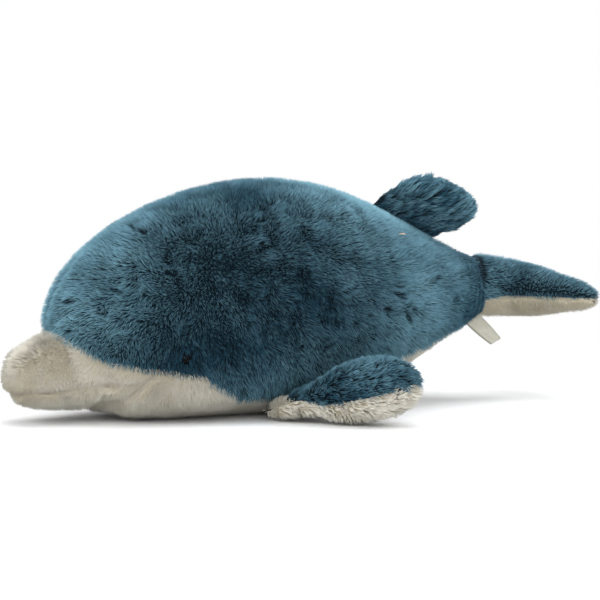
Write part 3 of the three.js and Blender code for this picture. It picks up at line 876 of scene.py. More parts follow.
@dataclass
class StuffedForm:
    """A stuffed form: panels sewn round a filling, each with its ground cloth and its coat of pile."""

    name: str
    body: str
    panels: dict[str, Cloth]
    filling: str
    frame: dict[str, Any]
    voxel: float = 4.0 * MM
    depth: float = 5.8 * MM
    cloth: float = 0.6 * MM
    spacing: float = 1.7 * MM
    clump: float = 0.35
    clump_size: float = 4.5 * MM
    groove: float = 1.6 * MM
    seed: int = 1
    rounds: int = 6
    wander: float = 0.28
    contrast: float = 1.0
    lift: float = 0.0
    seam_width: float = 3.5
    sink_share: float = 0.24
    sink_steps: int = 4
    slack: float = 1.6 * MM
    least_slack: float = 2.0 * MM
    strand: Strand = field(default_factory=Strand)
    puff: Puff = field(default_factory=Puff)

    def outer(self) -> Mesh:
        """The form's closed outside, remeshed evenly from copies of its CAD solids."""
        work = self._copied(*self.panels, self.filling)
        self.joined(work)
        even = self._remeshed(work, self.name)
        faired(even, self.rounds, self.evenness(points_of(even)))
        share = self.filled(points_of(even))
        if share.any():
            level_out(even, 40, share)
        return even

    def _copied(self, *nodes: str) -> bmesh.types.BMesh:
        """A bmesh with copies of CAD solids, their doubled corners joined."""
        work = bmesh.new()
        for node in nodes:
            work.from_mesh(self.frame["nodes"][node].data)
        bmesh.ops.remove_doubles(work, verts=work.verts, dist=1e-6)
        return work

    def _remeshed(self, work: bmesh.types.BMesh, name: str) -> Mesh:
        """An even mesh of a finished bmesh."""
        return with_modifier(closed_off(work, name), "REMESH", mode="VOXEL", voxel_size=self.voxel)

    def evenness(self, points: Array) -> Array:
        """How much of the smoothing each point of the form takes."""
        return np.ones(len(points))

    def filled(self, points: Array) -> Array:
        """How far the stuffing pushes each point's hollows out flat; most forms have no hollow."""
        return np.zeros(len(points))

    def joined(self, work: bmesh.types.BMesh) -> None:
        """Adds the cloth that a form has beyond its CAD solids; most have none."""

    def depths(self, points: Array) -> Array:
        """How far below the CAD outside the ground lies at each point."""
        return np.full(len(points), self.depth)

    def grooves(self, points: Array) -> Array:
        """How deep the seams draw the cloth in at each point."""
        return np.full(len(points), self.groove)

    def reshaped(self, points: Array, normals: Array) -> Array:
        """The points of the cloth after the form's own folds and tucks."""
        return points

    def grain(self) -> tuple[float, float, float]:
        """The way in which the pile's locks are drawn out long; none where it stands upright."""
        return (0.0, 0.0, 0.0)

    def comb(self, panel: str, roots: Array, normals: Array, seam: Array) -> Comb:
        """How the pile of a panel lies; each form says so for itself."""
        raise NotImplementedError

    def settle(self, piece: Object) -> None:
        """Lets a piece of the form's cloth move with its body."""
        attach(piece, self.body)

    def _gaps(self, points: Array) -> Array:
        """Each point's distance from each panel's solid, one column a panel."""
        columns = []
        for node in self.panels:
            tree = surface_of(self.frame["nodes"][node].data)
            columns.append([tree.find_nearest(point)[3] for point in points])
        return np.array(columns).T

    def _sunk(self, mesh: Mesh, extra: float) -> None:
        """Draws a closed mesh in to the depth of the ground, and a little more, in small even steps."""
        total = np.minimum(self.depths(points_of(mesh)) + extra, self.sink_share * thickness_of(mesh))
        for _ in range(self.sink_steps):
            move_to(mesh, points_of(mesh) - normals_of(mesh) * (total / self.sink_steps)[:, None])
            smoothed(mesh, 1)

    def ground(self) -> Mesh:
        """The puffed cloth of the whole form."""
        mesh = self.outer()
        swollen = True
        outside = points_of(mesh)
        self._sunk(mesh, self.puff.cap / 2 if swollen else 0.0)
        if swollen:
            gaps = np.sort(self._gaps(outside), axis=1)
            self.puff.swell(mesh, gaps[:, 1] - gaps[:, 0])
            smoothed(mesh, 1)
        fine = with_modifier(mesh, "SUBSURF", levels=1, render_levels=1)
        move_to(fine, self.reshaped(points_of(fine), normals_of(fine)))
        return fine

    def _cut(self, fine: Mesh) -> tuple[dict[str, Mesh], dict[str, Array]]:
        """Cuts the form's cloth into its panels along the seams.

        Args:
            fine: The cloth of the whole form.

        Returns:
            Each panel's open mesh, and the distance of its vertices from the nearest seam.
        """
        points, normals = points_of(fine), normals_of(fine)
        gaps = self._gaps(points + normals * self.depths(points)[:, None])
        label, ranked = gaps.argmin(axis=1), np.sort(gaps, axis=1)
        seam = ranked[:, 1] - ranked[:, 0]
        move_to(fine, points - normals * (self.grooves(points) * bell((seam, 0, self.seam_width)))[:, None])
        work = bmesh.new()
        work.from_mesh(fine)
        work.verts.ensure_lookup_table()
        marks = work.verts.layers.int.new("panel")
        far = work.verts.layers.float.new("seam")
        for vert in work.verts:
            vert[marks], vert[far] = int(label[vert.index]) + 1, float(seam[vert.index])
        sewn = []
        for edge in list(work.edges):
            first, second = edge.verts
            one, two = first[marks] - 1, second[marks] - 1
            if one == two:
                continue
            near = gaps[first.index, two] - gaps[first.index, one]
            past = gaps[second.index, one] - gaps[second.index, two]
            share = min(0.94, max(0.06, near / max(near + past, 1e-9)))
            made = bmesh.utils.edge_split(edge, first, share)[1]
            made[marks], made[far] = 0, 0.0
            sewn.append(made)
        bmesh.ops.connect_verts(work, verts=sewn)
        meshes, seams = {}, {}
        for index, node in enumerate(self.panels):
            part = work.copy()
            tag, near = part.verts.layers.int["panel"], part.verts.layers.float["seam"]
            others = [f for f in part.faces if self._panel_of(f, tag) != index]
            bmesh.ops.delete(part, geom=others, context="FACES")
            part.verts.index_update()
            seams[node] = np.array([v[near] for v in part.verts])
            part.verts.layers.int.remove(tag)
            part.verts.layers.float.remove(part.verts.layers.float["seam"])
            meshes[node] = closed_off(part, node)
        work.free()
        return meshes, seams

    @staticmethod
    def _panel_of(face: bmesh.types.BMFace, tag: Any) -> int:
        """The panel that a face belongs to, from the most of its corners that aren't on a seam."""
        found = [v[tag] - 1 for v in face.verts if v[tag]]
        return max(set(found), key=found.count) if found else -1

    def _lined(self, open_mesh: Mesh) -> Mesh:
        """A panel's ground with the thickness of its cloth, laid inwards."""
        return with_modifier(open_mesh, "SOLIDIFY", thickness=self.cloth, offset=-1.0, use_even_offset=False)

    def _wadding(self) -> Object:
        """The lumpy filling, a little inside the cloth."""
        mesh = self._remeshed(self._copied(self.filling), self.filling)
        drawn = np.minimum(np.maximum(self.depth - self.slack, self.least_slack), 0.3 * thickness_of(mesh))
        lumps = Ripple(22 * MM, self.seed + 50)(points_of(mesh))
        smoothed(mesh, 2)
        move_to(mesh, points_of(mesh) - normals_of(mesh) * (drawn - lumps * 0.35 * MM)[:, None])
        move_to(mesh, self.reshaped(points_of(mesh), normals_of(mesh)))
        piece = shown(f"{self.name}_wadding", mesh, WADDING.material())
        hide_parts(self.filling)
        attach(piece, self.body)
        return piece

    def build(self) -> None:
        """Makes and dresses every piece of the form."""
        meshes, seams = self._cut(self.ground())
        strands = 0
        for index, (node, cloth) in enumerate(self.panels.items()):
            coat = Coat(f"{node}_pile", cloth, self.spacing, self.clump_size, self.seed * 100 + index * 7,
                        strand=self.strand, grain=self.grain(), wander=self.wander, contrast=self.contrast,
                        lift=self.lift)
            roots, normals, seam = coat.scatter(meshes[node], seams[node])
            for piece in coat.grow(roots, normals, self.comb(node, roots, normals, seam)):
                self.settle(piece)
                strands += len(piece.data.polygons) // len(coat.strand.template()[1])
            skin = shown(f"{node}_ground", self._lined(meshes[node]), cloth.ground.material())
            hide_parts(node)
            self.settle(skin)
        self._wadding()
        log.info("%s: %d panels, %d strands", self.name, len(meshes), strands)


@dataclass(frozen=True)
class Patch:
    """A soft round patch on the body's sides, in millimetres: its middle, its widths and what it adds there."""

    x: float
    z: float
    wide: float
    high: float
    adds: float

    def __call__(self, points: Array) -> Array:
        """What the patch adds at each point."""
        return bell((points[:, 0], self.x, self.wide), (points[:, 2], self.z, self.high)) * self.adds


@dataclass
class Torso(StuffedForm):
    """The body and beak in one: two blue sides, and the white belly, beak and jaw.

    Places along X are in millimetres. A parting is a side, a place along X and Z, half its length and its turn in
    degrees; the chin is a line of places along X and Z. The tones are painted light and shade: what each part of the
    blue adds to the tone of its pile.
    """

    beak: tuple[float, float] = (-205, -150)
    tail: tuple[float, float] = (120, 168)
    crease: float = 177
    eye_gap: float = 3.0 * MM
    root_gap: float = 8.0 * MM
    length: float = 8.6 * MM
    nose: Patch = Patch(-248, 56, 20, 18, 4.0)
    dimple: Patch = Patch(-226, 44, 10, 8, -0.6)
    # The patch below makes the white pile darker in the dimple.
    dimple_darkening: Patch = Patch(-226, 44, 7, 6, -0.16)
    # The patch below makes the white pile darker low on the tip of the beak.
    blotch: Patch = Patch(-254, 24, 16, 15, -0.6)
    # The hollow and cheek patches are painted shade: the blue is darker on the middle of the flank and on the cheek.
    hollow: Patch = Patch(-50, 100, 85, 50, -0.32)
    cheek: Patch = Patch(-130, 55, 50, 24, -0.38)
    # Painted light on the forehead, the rear and the ridge of the back. Painted shade on the tail stock, along the
    # seams, in the crease at the tail's end, round the eyes, on the crown and above the flippers.
    tones: tuple[tuple[str, float], ...] = (
        ("front", 0.2), ("rear", 0.05), ("ridge", 0.28), ("stock", -0.36), ("edge", -0.14), ("crease", -0.05),
        ("close", -0.4), ("crown", -0.32), ("flippers", -0.28),
    )
    partings: tuple[tuple[int, float, float, float, float], ...] = (
        (-1, -178, 105, 6, -20), (-1, -207, 97, 5, 20), (-1, -153, 150, 5, -35), (-1, -141, 118, 5, -10),
        (-1, 105, 109, 6, 20), (-1, 54, 99, 9, -15), (-1, 68, 80, 7, -45), (-1, 5, 105, 9, 30),
        (-1, -43, 97, 8, 10), (-1, -104, 127, 7, -15), (-1, -65, 158, 7, 20), (-1, -15, 61, 8, 35),
        (1, -160, 110, 8, 15), (1, -92, 142, 7, -25), (1, -20, 88, 9, 10), (1, 62, 112, 8, -20),
        (1, 96, 92, 6, 40), (1, -122, 80, 7, -10), (-1, -164, 30.6, 14, 46), (-1, -183, 19.3, 10, 5),
        (1, -164, 30.6, 14, 46),
    )
    chin: tuple[tuple[float, float], ...] = ((-155, 40), (-161, 34), (-166, 28), (-172, 22), (-181, 19.5), (-191, 19))

    def evenness(self, points: Array) -> Array:
        """The beak keeps its blunt end, so it is smoothed less."""
        return 0.4 + 0.6 * ease(-235, -200, points[:, 0])

    def filled(self, points: Array) -> Array:
        """The hollow between the beak and the cheeks is stuffed out."""
        return bell((points[:, 0], -207, 24)) * (1 - ease(60, 84, points[:, 2]))

    def _tail(self, points: Array) -> Array:
        """How much each point belongs to the tight, short-haired tail stock."""
        return ease(*self.tail, points[:, 0])

    def _eyes(self, points: Array) -> tuple[Array, Array]:
        """Each point's distance from the nearer eye, and its height above it."""
        middles = np.array([np.mean([v.co for v in self.frame["nodes"][f"{side}_eye"].data.vertices], axis=0)
                            for side in ("left", "right")])
        far = np.linalg.norm(points[:, None] - middles[None], axis=2)
        return far.min(axis=1), points[:, 2] - middles[:, 2].mean()

    def depths(self, points: Array) -> Array:
        """The ground's depth, less where the pile is short and over the eyes' washers."""
        beak = 1 - ease(*self.beak, points[:, 0])
        low = 1 - ease(30, 70, points[:, 2])
        washer = 1 - ease(9, 18, self._eyes(points)[0])
        return self.depth - 3.4 * MM * self._tail(points) - 1.0 * MM * beak * low - 4.0 * MM * washer

    def reshaped(self, points: Array, normals: Array) -> Array:
        """Gathers the tail stock into small wrinkles, draws its end in under the fluke and shapes the beak."""
        x, z = points[:, 0], points[:, 2]
        drift = Ripple(60 * MM, self.seed + 9)(points)
        rings = np.sin(2 * math.pi * x / (6 * MM) + drift * 1.6)
        gather = ease(132, 156, x) * (1 - ease(168, 176, x))
        crease = bell((x - self.crease * MM - drift * 0.6 * MM, 0, 2.6))
        front = (1 - ease(-150, -90, x)) * (1 - ease(35, 60, z))
        lumps = Ripple(30 * MM, self.seed + 12)(points) * front * ease(-240, -195, x)
        lift = rings * gather * 0.45 - crease * 0.5 + lumps * 0.8 + self.dimple(points) - self._fold(points) * 2.0
        lift = lift + self.nose(points) - ease(168, 181, x) * 2.0
        return points + normals * (lift * MM)[:, None]

    def _fold(self, points: Array) -> Array:
        """How near each point is to the slanting fold behind the chin, from 0 to 1."""
        far = np.full(len(points), 1.0)
        for (x, z), (across, up) in zip(self.chin, self.chin[1:]):
            start, run = np.array([x, z]) * MM, np.array([across - x, up - z]) * MM
            away = points[:, (0, 2)] - start
            share = np.clip(away @ run / (run @ run), 0.0, 1.0)
            far = np.minimum(far, np.linalg.norm(away - np.outer(share, run), axis=1))
        return bell((far, 0, 3.2))

    def _flippers(self, points: Array) -> Array:
        """Each point's distance from the nearer flipper's root seam."""
        gaps = []
        for joint in (j for j in self.frame["joints"] if "flipper" in j["name"]):
            away, axis = points - np.array(joint["pos_m"]), unit(np.array(joint["axis"]))
            run = np.clip(away @ axis, -45 * MM, 45 * MM)
            gaps.append(np.linalg.norm(away - np.outer(run, axis), axis=1))
        return np.min(gaps, axis=0)

    def grooves(self, points: Array) -> Array:
        """The seams draw in most at the mouth and chin, and hardly along the back."""
        x, z = points[:, 0], points[:, 2]
        front = (1 - ease(-130, -100, x)) * (1 - ease(30, 48, z))
        mouth = 1 + 0.9 * front * (1 - ease(-225, -195, x))
        return self.groove * mouth * (1 - 0.75 * ease(120, 150, z))

    def _parted(self, roots: Array) -> tuple[Array, Array]:
        """Where the pile falls apart into short dark partings.

        Args:
            roots: Where the strands stand.

        Returns:
            The way in which each strand is pushed, and how strongly, from 0 to 1.
        """
        push, strength = np.zeros((len(roots), 3)), np.zeros(len(roots))
        for side, x, z, reach, turn in self.partings:
            angle = math.radians(turn)
            along = np.array([math.cos(angle), 0, math.sin(angle)])
            over = np.array([-math.sin(angle), 0, math.cos(angle)])
            away = roots - np.array([x, 0, z]) * MM
            run, off = np.abs(away @ along), away @ over
            near = bell((off, 0, 1.8)) * (1 - ease(0.4 * reach, reach, run))
            near = near * (roots[:, 1] * side > 0)
            push += (np.tanh(off / (0.7 * MM)) * near)[:, None] * over
            strength = np.maximum(strength, near)
        return push, strength

    def comb(self, panel: str, roots: Array, normals: Array, seam: Array) -> Comb:
        """Pile that stands almost upright and hangs a little, short on the beak and tail stock.

        Args:
            panel: The panel's node.
            roots: Where the strands stand.
            normals: The ground's normals there; not used.
            seam: Each root's distance from the nearest seam.

        Returns:
            How the strands lie.
        """
        x, _, z = roots.T
        blue = self.panels[panel] is Cloth.BLUE
        brushed, patches = Ripple(40 * MM, self.seed + 3)(roots), Ripple(60 * MM, self.seed + 4)(roots)
        sway = np.column_stack([Ripple(20 * MM, self.seed + k)(roots) for k in (5, 6, 7)])
        tail, (eye, above), (push, parted) = self._tail(roots), self._eyes(roots), self._parted(roots)
        beak = (1 - ease(*self.beak, x)) * (1 - ease(40, 75, z))
        low = 1 - ease(3, 20, z)
        close = 1 - ease(6, 15, eye)
        edge = 1 - ease(0, 8, seam)
        hang = edge * (1 - ease(95, 120, z)) if blue else 0.0 * edge
        forward = (1 - ease(-190, -80, x)) * ease(55, 95, z)
        backward = ease(10, 100, x) * ease(50, 80, z)
        way = np.outer(1 - 0.6 * forward - 0.8 * backward, (0.0, 0.0, -1.0)) + np.outer(forward, (-1.0, 0.0, -0.1))
        way += np.outer(backward, (1.0, 0.0, 0.3)) + np.outer(tail, (0.8, 0.0, 0.0)) + sway * 0.4 + push * 3.0
        length = self.length * (1 + 0.04 * brushed) * (1 - 0.6 * tail) * (1 - 0.22 * beak) * (1 - 0.2 * close)
        length = length * (1 - 0.3 * (edge - hang) * (z < 120 * MM)) * (1 + 0.08 * hang)
        length = length + (np.minimum(length, 5.6 * MM) - length) * low
        lean = 16 + 6 * (forward + backward) + 5 * brushed + 40 * tail + 26 * hang + 15 * parted
        lean = lean + 26 * close * (above > 0)
        # The partings are a little darker, painted shade where the pile falls apart. The patches are random tone.
        tone = 0.44 + 0.05 * patches - 0.05 * parted
        if blue:
            # Where each of the tones' painted light and shade falls on the blue.
            parts = {
                "front": 1 - ease(-200, -120, x), "rear": ease(0, 80, x), "stock": ease(85, 175, x),
                "ridge": bell((x, 20, 60)) * ease(135, 175, z), "crown": bell((x, -65, 50)) * ease(150, 180, z),
                "edge": edge * (z < 120 * MM), "crease": bell((x, self.crease, 3.0)), "close": close,
                "flippers": bell((self._flippers(roots), 0, 12)),
            }
            tone = tone + sum(adds * parts[part] for part, adds in self.tones)
            # Painted shade on the middle of the flank and on the cheek.
            tone = tone + self.hollow(roots) + self.cheek(roots)
        else:
            # On the white: painted light on the upper beak, and painted shade along the seams at the chin and mouth.
            chin = edge * (x < -120 * MM) * (z < 36 * MM)
            tone = tone + 0.22 + 0.12 * beak * ease(22, 40, z) - 0.16 * chin
            tone = tone + self.blotch(roots) + self.dimple_darkening(roots)
        gather = self.clump * (1 - 0.9 * tail) * (1.0 if blue else 0.5)
        keep = (eye > self.eye_gap) & (self._flippers(roots) > self.root_gap)
        return Comb(length, lean * (1 - 0.7 * low), way, tone, gather, keep)


@dataclass
class Limb(StuffedForm):
    """A fin, flipper or fluke: two panels sewn edge to edge, whose root is sewn to the body and bends there.

    Pile grows beyond bare, measured back from the root seam, and on what faces the body only beyond inside.
    """

    joint: str = ""
    length: float = 9.0 * MM
    lean: float = 50.0
    tuck: float = 12.0 * MM
    bare: float = 8.0 * MM
    inside: float = 2.0 * MM
    rearward: float = 0.5
    trim: float = 0.0
    # Painted shade along the seams: how much darker the pile is there, except where blue hangs over white.
    ridge: float = 0.12
    tone: float = 0.45
    pale: float = 0.7
    shadow: float = 0.0
    white_front: float = 0.0
    front_end: float = -30 * MM
    full: float = 0.0
    sweep: float = 0.0
    streaks: bool = False
    bend: tuple[float, float] = (7 * MM, 10 * MM)

    def __post_init__(self) -> None:
        """Takes the seam at the root from the frame's joint."""
        hinge = next(j for j in self.frame["joints"] if j["name"] == self.joint)
        self.base = np.array(hinge["pos_m"])
        axis = unit(np.array(hinge["axis"]))
        middle = np.mean([v.co for n in self.panels for v in self.frame["nodes"][n].data.vertices], axis=0)
        away = middle - self.base
        self.outward = unit(away - (away @ axis) * axis)
        self.along = axis if axis[0] > 0.1 or (abs(axis[0]) < 0.1 and axis[1] > 0) else -axis

    def _reach(self, points: Array) -> Array:
        """How far out from the root seam each point lies."""
        return (points - self.base) @ self.outward

    def _gaps(self, points: Array) -> Array:
        """Each point's distance from each panel, with the white drawn up round the front of a flipper."""
        gaps = super()._gaps(points)
        front = 1 - ease(-34, -8, (points - self.base) @ self.along)
        blue = np.array([cloth is Cloth.BLUE for cloth in self.panels.values()])
        return gaps + np.outer(front * self.white_front, blue)

    def reshaped(self, points: Array, normals: Array) -> Array:
        """Tucks the root into the body's seam, stuffs the upper side out by it and sweeps the rear edge back."""
        reach, along = self._reach(points), (points - self.base) @ self.along
        tucked = 1 - ease(-4, 8, reach)
        stuffed = ease(-6, 8, reach) * (1 - smooth(0.45, 0.9, reach / reach.max())) * np.maximum(normals[:, 2], 0)
        swept = smooth(0.0, 0.9, along / along.max()) * ease(-12, 18, reach)
        back = self.along * self.sweep - self.outward * 0.6 * self.sweep
        full = points + normals * (stuffed * self.full)[:, None] + np.outer(swept, back)
        return full - np.outer(tucked * self.tuck, self.outward)

    def settle(self, piece: Object) -> None:
        """Bends a piece of the limb's cloth between the body and the limb."""
        start, end = self.base - self.outward * self.bend[0], self.base + self.outward * self.bend[1]
        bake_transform(piece, "torso", self.body, start=tuple(start), end=tuple(end))

    def grain(self) -> tuple[float, float, float]:
        """The locks are drawn out the way that the pile is laid."""
        return tuple(unit(self.outward + self.rearward * self.along)) if self.streaks else (0.0, 0.0, 0.0)

    def ways(self, roots: Array) -> Array:
        """Which way the pile is laid: towards the tip and the rear."""
        return self.outward + self.rearward * self.along + np.zeros_like(roots)

    def comb(self, panel: str, roots: Array, normals: Array, seam: Array) -> Comb:
        """Pile that is laid down in locks, parted along the seam, with the blue hanging over the white.

        Args:
            panel: The panel's node.
            roots: Where the strands stand.
            normals: The ground's normals there.
            seam: Each root's distance from the nearest seam.

        Returns:
            How the strands lie.
        """
        sway = np.column_stack([Ripple(16 * MM, self.seed + k)(roots) for k in (5, 6, 7)])
        brushed, patches = Ripple(24 * MM, self.seed + 3)(roots), Ripple(34 * MM, self.seed + 4)(roots)
        reach = self._reach(roots)
        tip = smooth(0.6, 1.0, reach / reach.max())
        edge = 1 - ease(0, 5, seam)
        blue = self.panels[panel] is Cloth.BLUE
        over = edge if blue and Cloth.WHITE in self.panels.values() else 0.0 * edge
        low = 1 - ease(3, 16, roots[:, 2])
        length = self.length * (1 + 0.1 * brushed) * (1 - self.trim * tip) * (1 - 0.3 * (edge - over))
        lean = (self.lean + 7 * brushed + 8 * over - 16 * (edge - over)) * (1 - 0.4 * low)
        # Along the seams the tone is darker, painted shade, except where the blue hangs over the white. The patches are
        # random tone.
        tone = (self.tone if blue else self.pale) + 0.08 * patches - self.ridge * (edge - over)
        tone = tone - self.shadow * (1 - ease(6, 26, reach)) * blue
        gather = np.full(len(roots), self.clump * (1.0 if blue else 0.8))
        open_side = (normals @ self.outward > -0.4) | (reach > self.inside)
        stray = ((roots - self.base) @ self.along < self.front_end) & (blue and self.white_front > 0)
        keep = (reach > -self.bare) & open_side & ~stray
        return Comb(length, lean, self.ways(roots) + sway * 0.25, tone, gather, keep)


@dataclass
class Fluke(Limb):
    """The tail fluke: two lobes round one hinge line, whose full front lies against the tail stock."""

    bend_from: float = 178 * MM
    bend_to: float = 206 * MM
    sleeve: tuple[Vector, Vector] = (Vector((158 * MM, 0, 103 * MM)), Vector((210 * MM, 0, 99 * MM)))
    sleeve_radii: tuple[float, float] = (30.5 * MM, 28 * MM)
    sleeve_narrowed: float = 0.84
    tips: tuple[float, float] = (45, 95)
    tip_swollen: float = 2.4 * MM
    tip_thickened: float = 0.5
    tip_shortened: float = 0.09
    tip_forward: float = 5.0 * MM

    def joined(self, work: bmesh.types.BMesh) -> None:
        """Runs the root of the fluke on as a sleeve into the tail stock, where the two are sewn together."""
        front, rear = self.sleeve
        shape = (Matrix.Translation((front + rear) / 2) @ Matrix.Diagonal((1.0, self.sleeve_narrowed, 1.0, 1.0))
                 @ turned_to(rear - front))
        bmesh.ops.create_cone(work, cap_ends=True, segments=28, radius1=self.sleeve_radii[0],
                              radius2=self.sleeve_radii[1], depth=(rear - front).length, matrix=shape)

    def reshaped(self, points: Array, normals: Array) -> Array:
        """Stuffs the tips of the lobes out blunt; nothing is tucked in, as the sleeve lies in the tail stock."""
        x, side = points[:, 0], np.abs(points[:, 1])
        tip = ease(*self.tips, side)
        plane = np.column_stack([np.ones(len(x)), x, side])
        middle = plane @ np.linalg.lstsq(plane[tip > 0], points[tip > 0, 2], rcond=None)[0]
        blunt = points + normals * (tip * self.tip_swollen)[:, None]
        blunt[:, 2] += (points[:, 2] - middle) * self.tip_thickened * tip
        blunt[:, 1] *= 1 - self.tip_shortened * tip
        blunt[:, 0] -= self.tip_forward * tip
        return blunt

    def settle(self, piece: Object) -> None:
        """Bends a piece along the sleeve, between the tail stock and the fluke."""
        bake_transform(piece, "torso", self.body, start=(self.bend_from, 0, 0.1), end=(self.bend_to, 0, 0.1))

    def ways(self, roots: Array) -> Array:
        """Which way the pile is laid: to the rear, and out towards the tip of each lobe."""
        side = np.tanh((roots - self.base) @ self.along / (12 * MM))
        return self.outward + (self.rearward * side)[:, None] * self.along


# ---- small parts


@dataclass
class SafetyEye:
    """A domed plastic eye on a ribbed shank, and the lock washer that holds it behind the cloth."""

    side: str
    frame: dict[str, Any]
    turns: int = 40

    def build(self) -> None:
        """Turns the eye about its shank and gives it and its washer their finishes."""
        eye, washer = self.frame["nodes"][f"{self.side}_eye"], self.frame["nodes"][f"{self.side}_eye_washer"]
        solid = points_of(eye.data)
        middle = (points_of(washer.data).min(axis=0) + points_of(washer.data).max(axis=0)) / 2
        away = solid - middle
        axis = self._straight(points_of(washer.data), unit(solid.mean(axis=0) - middle))
        height = away @ axis
        radius = np.linalg.norm(away - np.outer(height, axis), axis=1)
        brim = height[radius > radius.max() * 0.95].min()
        stem = radius[height < brim - 1 * MM].max()
        work = bmesh.new()
        profile = self._profile(radius.max(), height.min(), brim, height.max(), stem)
        verts = [work.verts.new((r, 0.0, h)) for r, h in profile]
        edges = [work.edges.new(pair) for pair in zip(verts, verts[1:])]
        bmesh.ops.spin(work, geom=verts + edges, cent=(0, 0, 0), axis=(0, 0, 1), angle=2 * math.pi,
                       steps=self.turns, use_merge=True)
        bmesh.ops.remove_doubles(work, verts=work.verts, dist=1e-6)
        bmesh.ops.recalc_face_normals(work, faces=work.faces)
        bmesh.ops.transform(work, matrix=Matrix.Translation(middle) @ turned_to(axis), verts=work.verts)
        mesh = closed_off(work, f"{self.side}_eye_dome")
        piece = shown(f"{self.side}_eye_dome", mesh, EyeFinish().material())
        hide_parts(f"{self.side}_eye")
        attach(piece, "torso")
        washer.data.materials.clear()
        washer.data.materials.append(WasherFinish().material())
        log.info("%s eye: %.1f mm across", self.side, 2 * radius.max() / MM)

    @staticmethod
    def _straight(washer: Array, guess: Array) -> Array:
        """The washer's own axis, on the side of a guess: the way in which its corners spread least."""
        spread = washer - washer.mean(axis=0)
        least = np.linalg.svd(spread, full_matrices=False)[2][2]
        return least if least @ guess > 0 else -least

    @staticmethod
    def _profile(radius: float, foot: float, brim: float, top: float, stem: float) -> list[tuple[float, float]]:
        """Half a section of the eye, from the top of the dome down to the foot of its shank."""
        dome = [(radius * math.sin(a), brim + (top - brim) * math.cos(a))
                for a in np.linspace(0.0, math.pi / 2, 12)]
        ribs = [(stem * (0.86 if k % 2 else 1.0), brim + (foot - brim) * k / 12) for k in range(1, 12)]
        return [*dome, (radius * 0.96, brim - 0.25 * MM), (stem, brim - 0.3 * MM), *ribs,
                (stem * 0.6, foot), (0.0, foot)]


@dataclass
class SewnTag:
    """A blank ribbon, folded double and caught in the seam by its two ends."""

    frame: dict[str, Any]
    width: float = 18 * MM
    caught: float = 7 * MM
    ribbon: float = 0.45 * MM
    gap: float = 1.1 * MM
    twist: float = -16.0
    node: str = "sewn_tag"

    def build(self) -> None:
        """Lays the ribbon out flat, folds it, gives it thickness and a weave."""
        hinge = next(j for j in self.frame["joints"] if j["child"] == "tag")
        root, across = np.array(hinge["pos_m"]), unit(np.array(hinge["axis"]))
        solid = points_of(self.frame["nodes"][self.node].data)
        away = solid.mean(axis=0) - root
        out = unit(away - (away @ across) * across)
        face = np.cross(out, across)
        far = ((solid - root) @ out).max()
        work = bmesh.new()
        bmesh.ops.create_grid(work, x_segments=18, y_segments=60, size=0.5)
        chart = work.loops.layers.uv.new("weave")
        half = far + self.caught - self.gap / 2 - self.ribbon / 2
        turn = math.pi * self.gap / 2
        total = 2 * half + turn
        for loop in (l for f in work.faces for l in f.loops):
            loop[chart].uv = ((loop.vert.co.x + 0.5) * self.width, (loop.vert.co.y + 0.5) * total)
        for vert in work.verts:
            side, run = vert.co.x, (vert.co.y + 0.5) * total
            reach, lift = self._folded(run, half, turn)
            reach -= self.caught
            angle = math.radians(self.twist) * max(0.0, reach / far) ** 1.5
            over = across * math.cos(angle) + face * math.sin(angle)
            up = face * math.cos(angle) - across * math.sin(angle)
            vert.co = Vector(root + over * side * self.width + out * reach + up * lift)
        bmesh.ops.solidify(work, geom=work.faces, thickness=self.ribbon)
        bmesh.ops.recalc_face_normals(work, faces=work.faces)
        mesh = closed_off(work, "blank_tag")
        piece = shown("blank_tag", mesh, RibbonFinish("woven_ribbon", self.width).material())
        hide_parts(self.node)
        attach(piece, "tag")
        log.info("tag: %.0f by %.0f mm of ribbon, folded", self.width / MM, total / MM)

    def _folded(self, run: float, half: float, turn: float) -> tuple[float, float]:
        """How far out and how high a point of the flat ribbon lies once it is folded."""
        if run < half:
            return run, -self.gap / 2
        if run > half + turn:
            return 2 * half + turn - run, self.gap / 2
        angle = (run - half) / turn * math.pi
        return half + self.gap / 2 * math.sin(angle), -self.gap / 2 * math.cos(angle)


@dataclass
class ThreadEnd:
    """A loose end of beige thread that stands out of the pile beside the dorsal fin."""

    place: tuple[float, float, float] = (70.9 * MM, -46.2 * MM, 148.5 * MM)
    way: tuple[float, float, float] = (0.35, -0.75, 0.45)
    length: float = 4 * MM
    radius: float = 0.75 * MM

    def build(self) -> None:
        """Extrudes a small bent thread out of the cloth."""
        work = bmesh.new()
        bmesh.ops.create_circle(work, cap_ends=True, segments=8, radius=self.radius)
        start = Vector(self.place) - Vector(self.way) * 2 * MM
        bmesh.ops.transform(work, matrix=Matrix.Translation(start) @ turned_to(self.way), verts=work.verts)
        end = list(work.faces)
        heading = Vector(self.way).normalized()
        for step in range(7):
            grown = bmesh.ops.extrude_face_region(work, geom=end)["geom"]
            verts = [g for g in grown if isinstance(g, bmesh.types.BMVert)]
            if step:
                bmesh.ops.delete(work, geom=end, context="FACES_ONLY")
            heading = (heading + Vector((0.12, 0.03, -0.1))).normalized()
            bmesh.ops.translate(work, verts=verts, vec=heading * self.length / 5)
            end = [g for g in grown if isinstance(g, bmesh.types.BMFace)]
        bmesh.ops.recalc_face_normals(work, faces=work.faces)
        mesh = closed_off(work, "thread_end")
        piece = shown("thread_end", mesh, THREAD.material())
        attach(piece, "torso")
        log.info("thread end: %.0f mm", self.length / MM)


# ---- studio


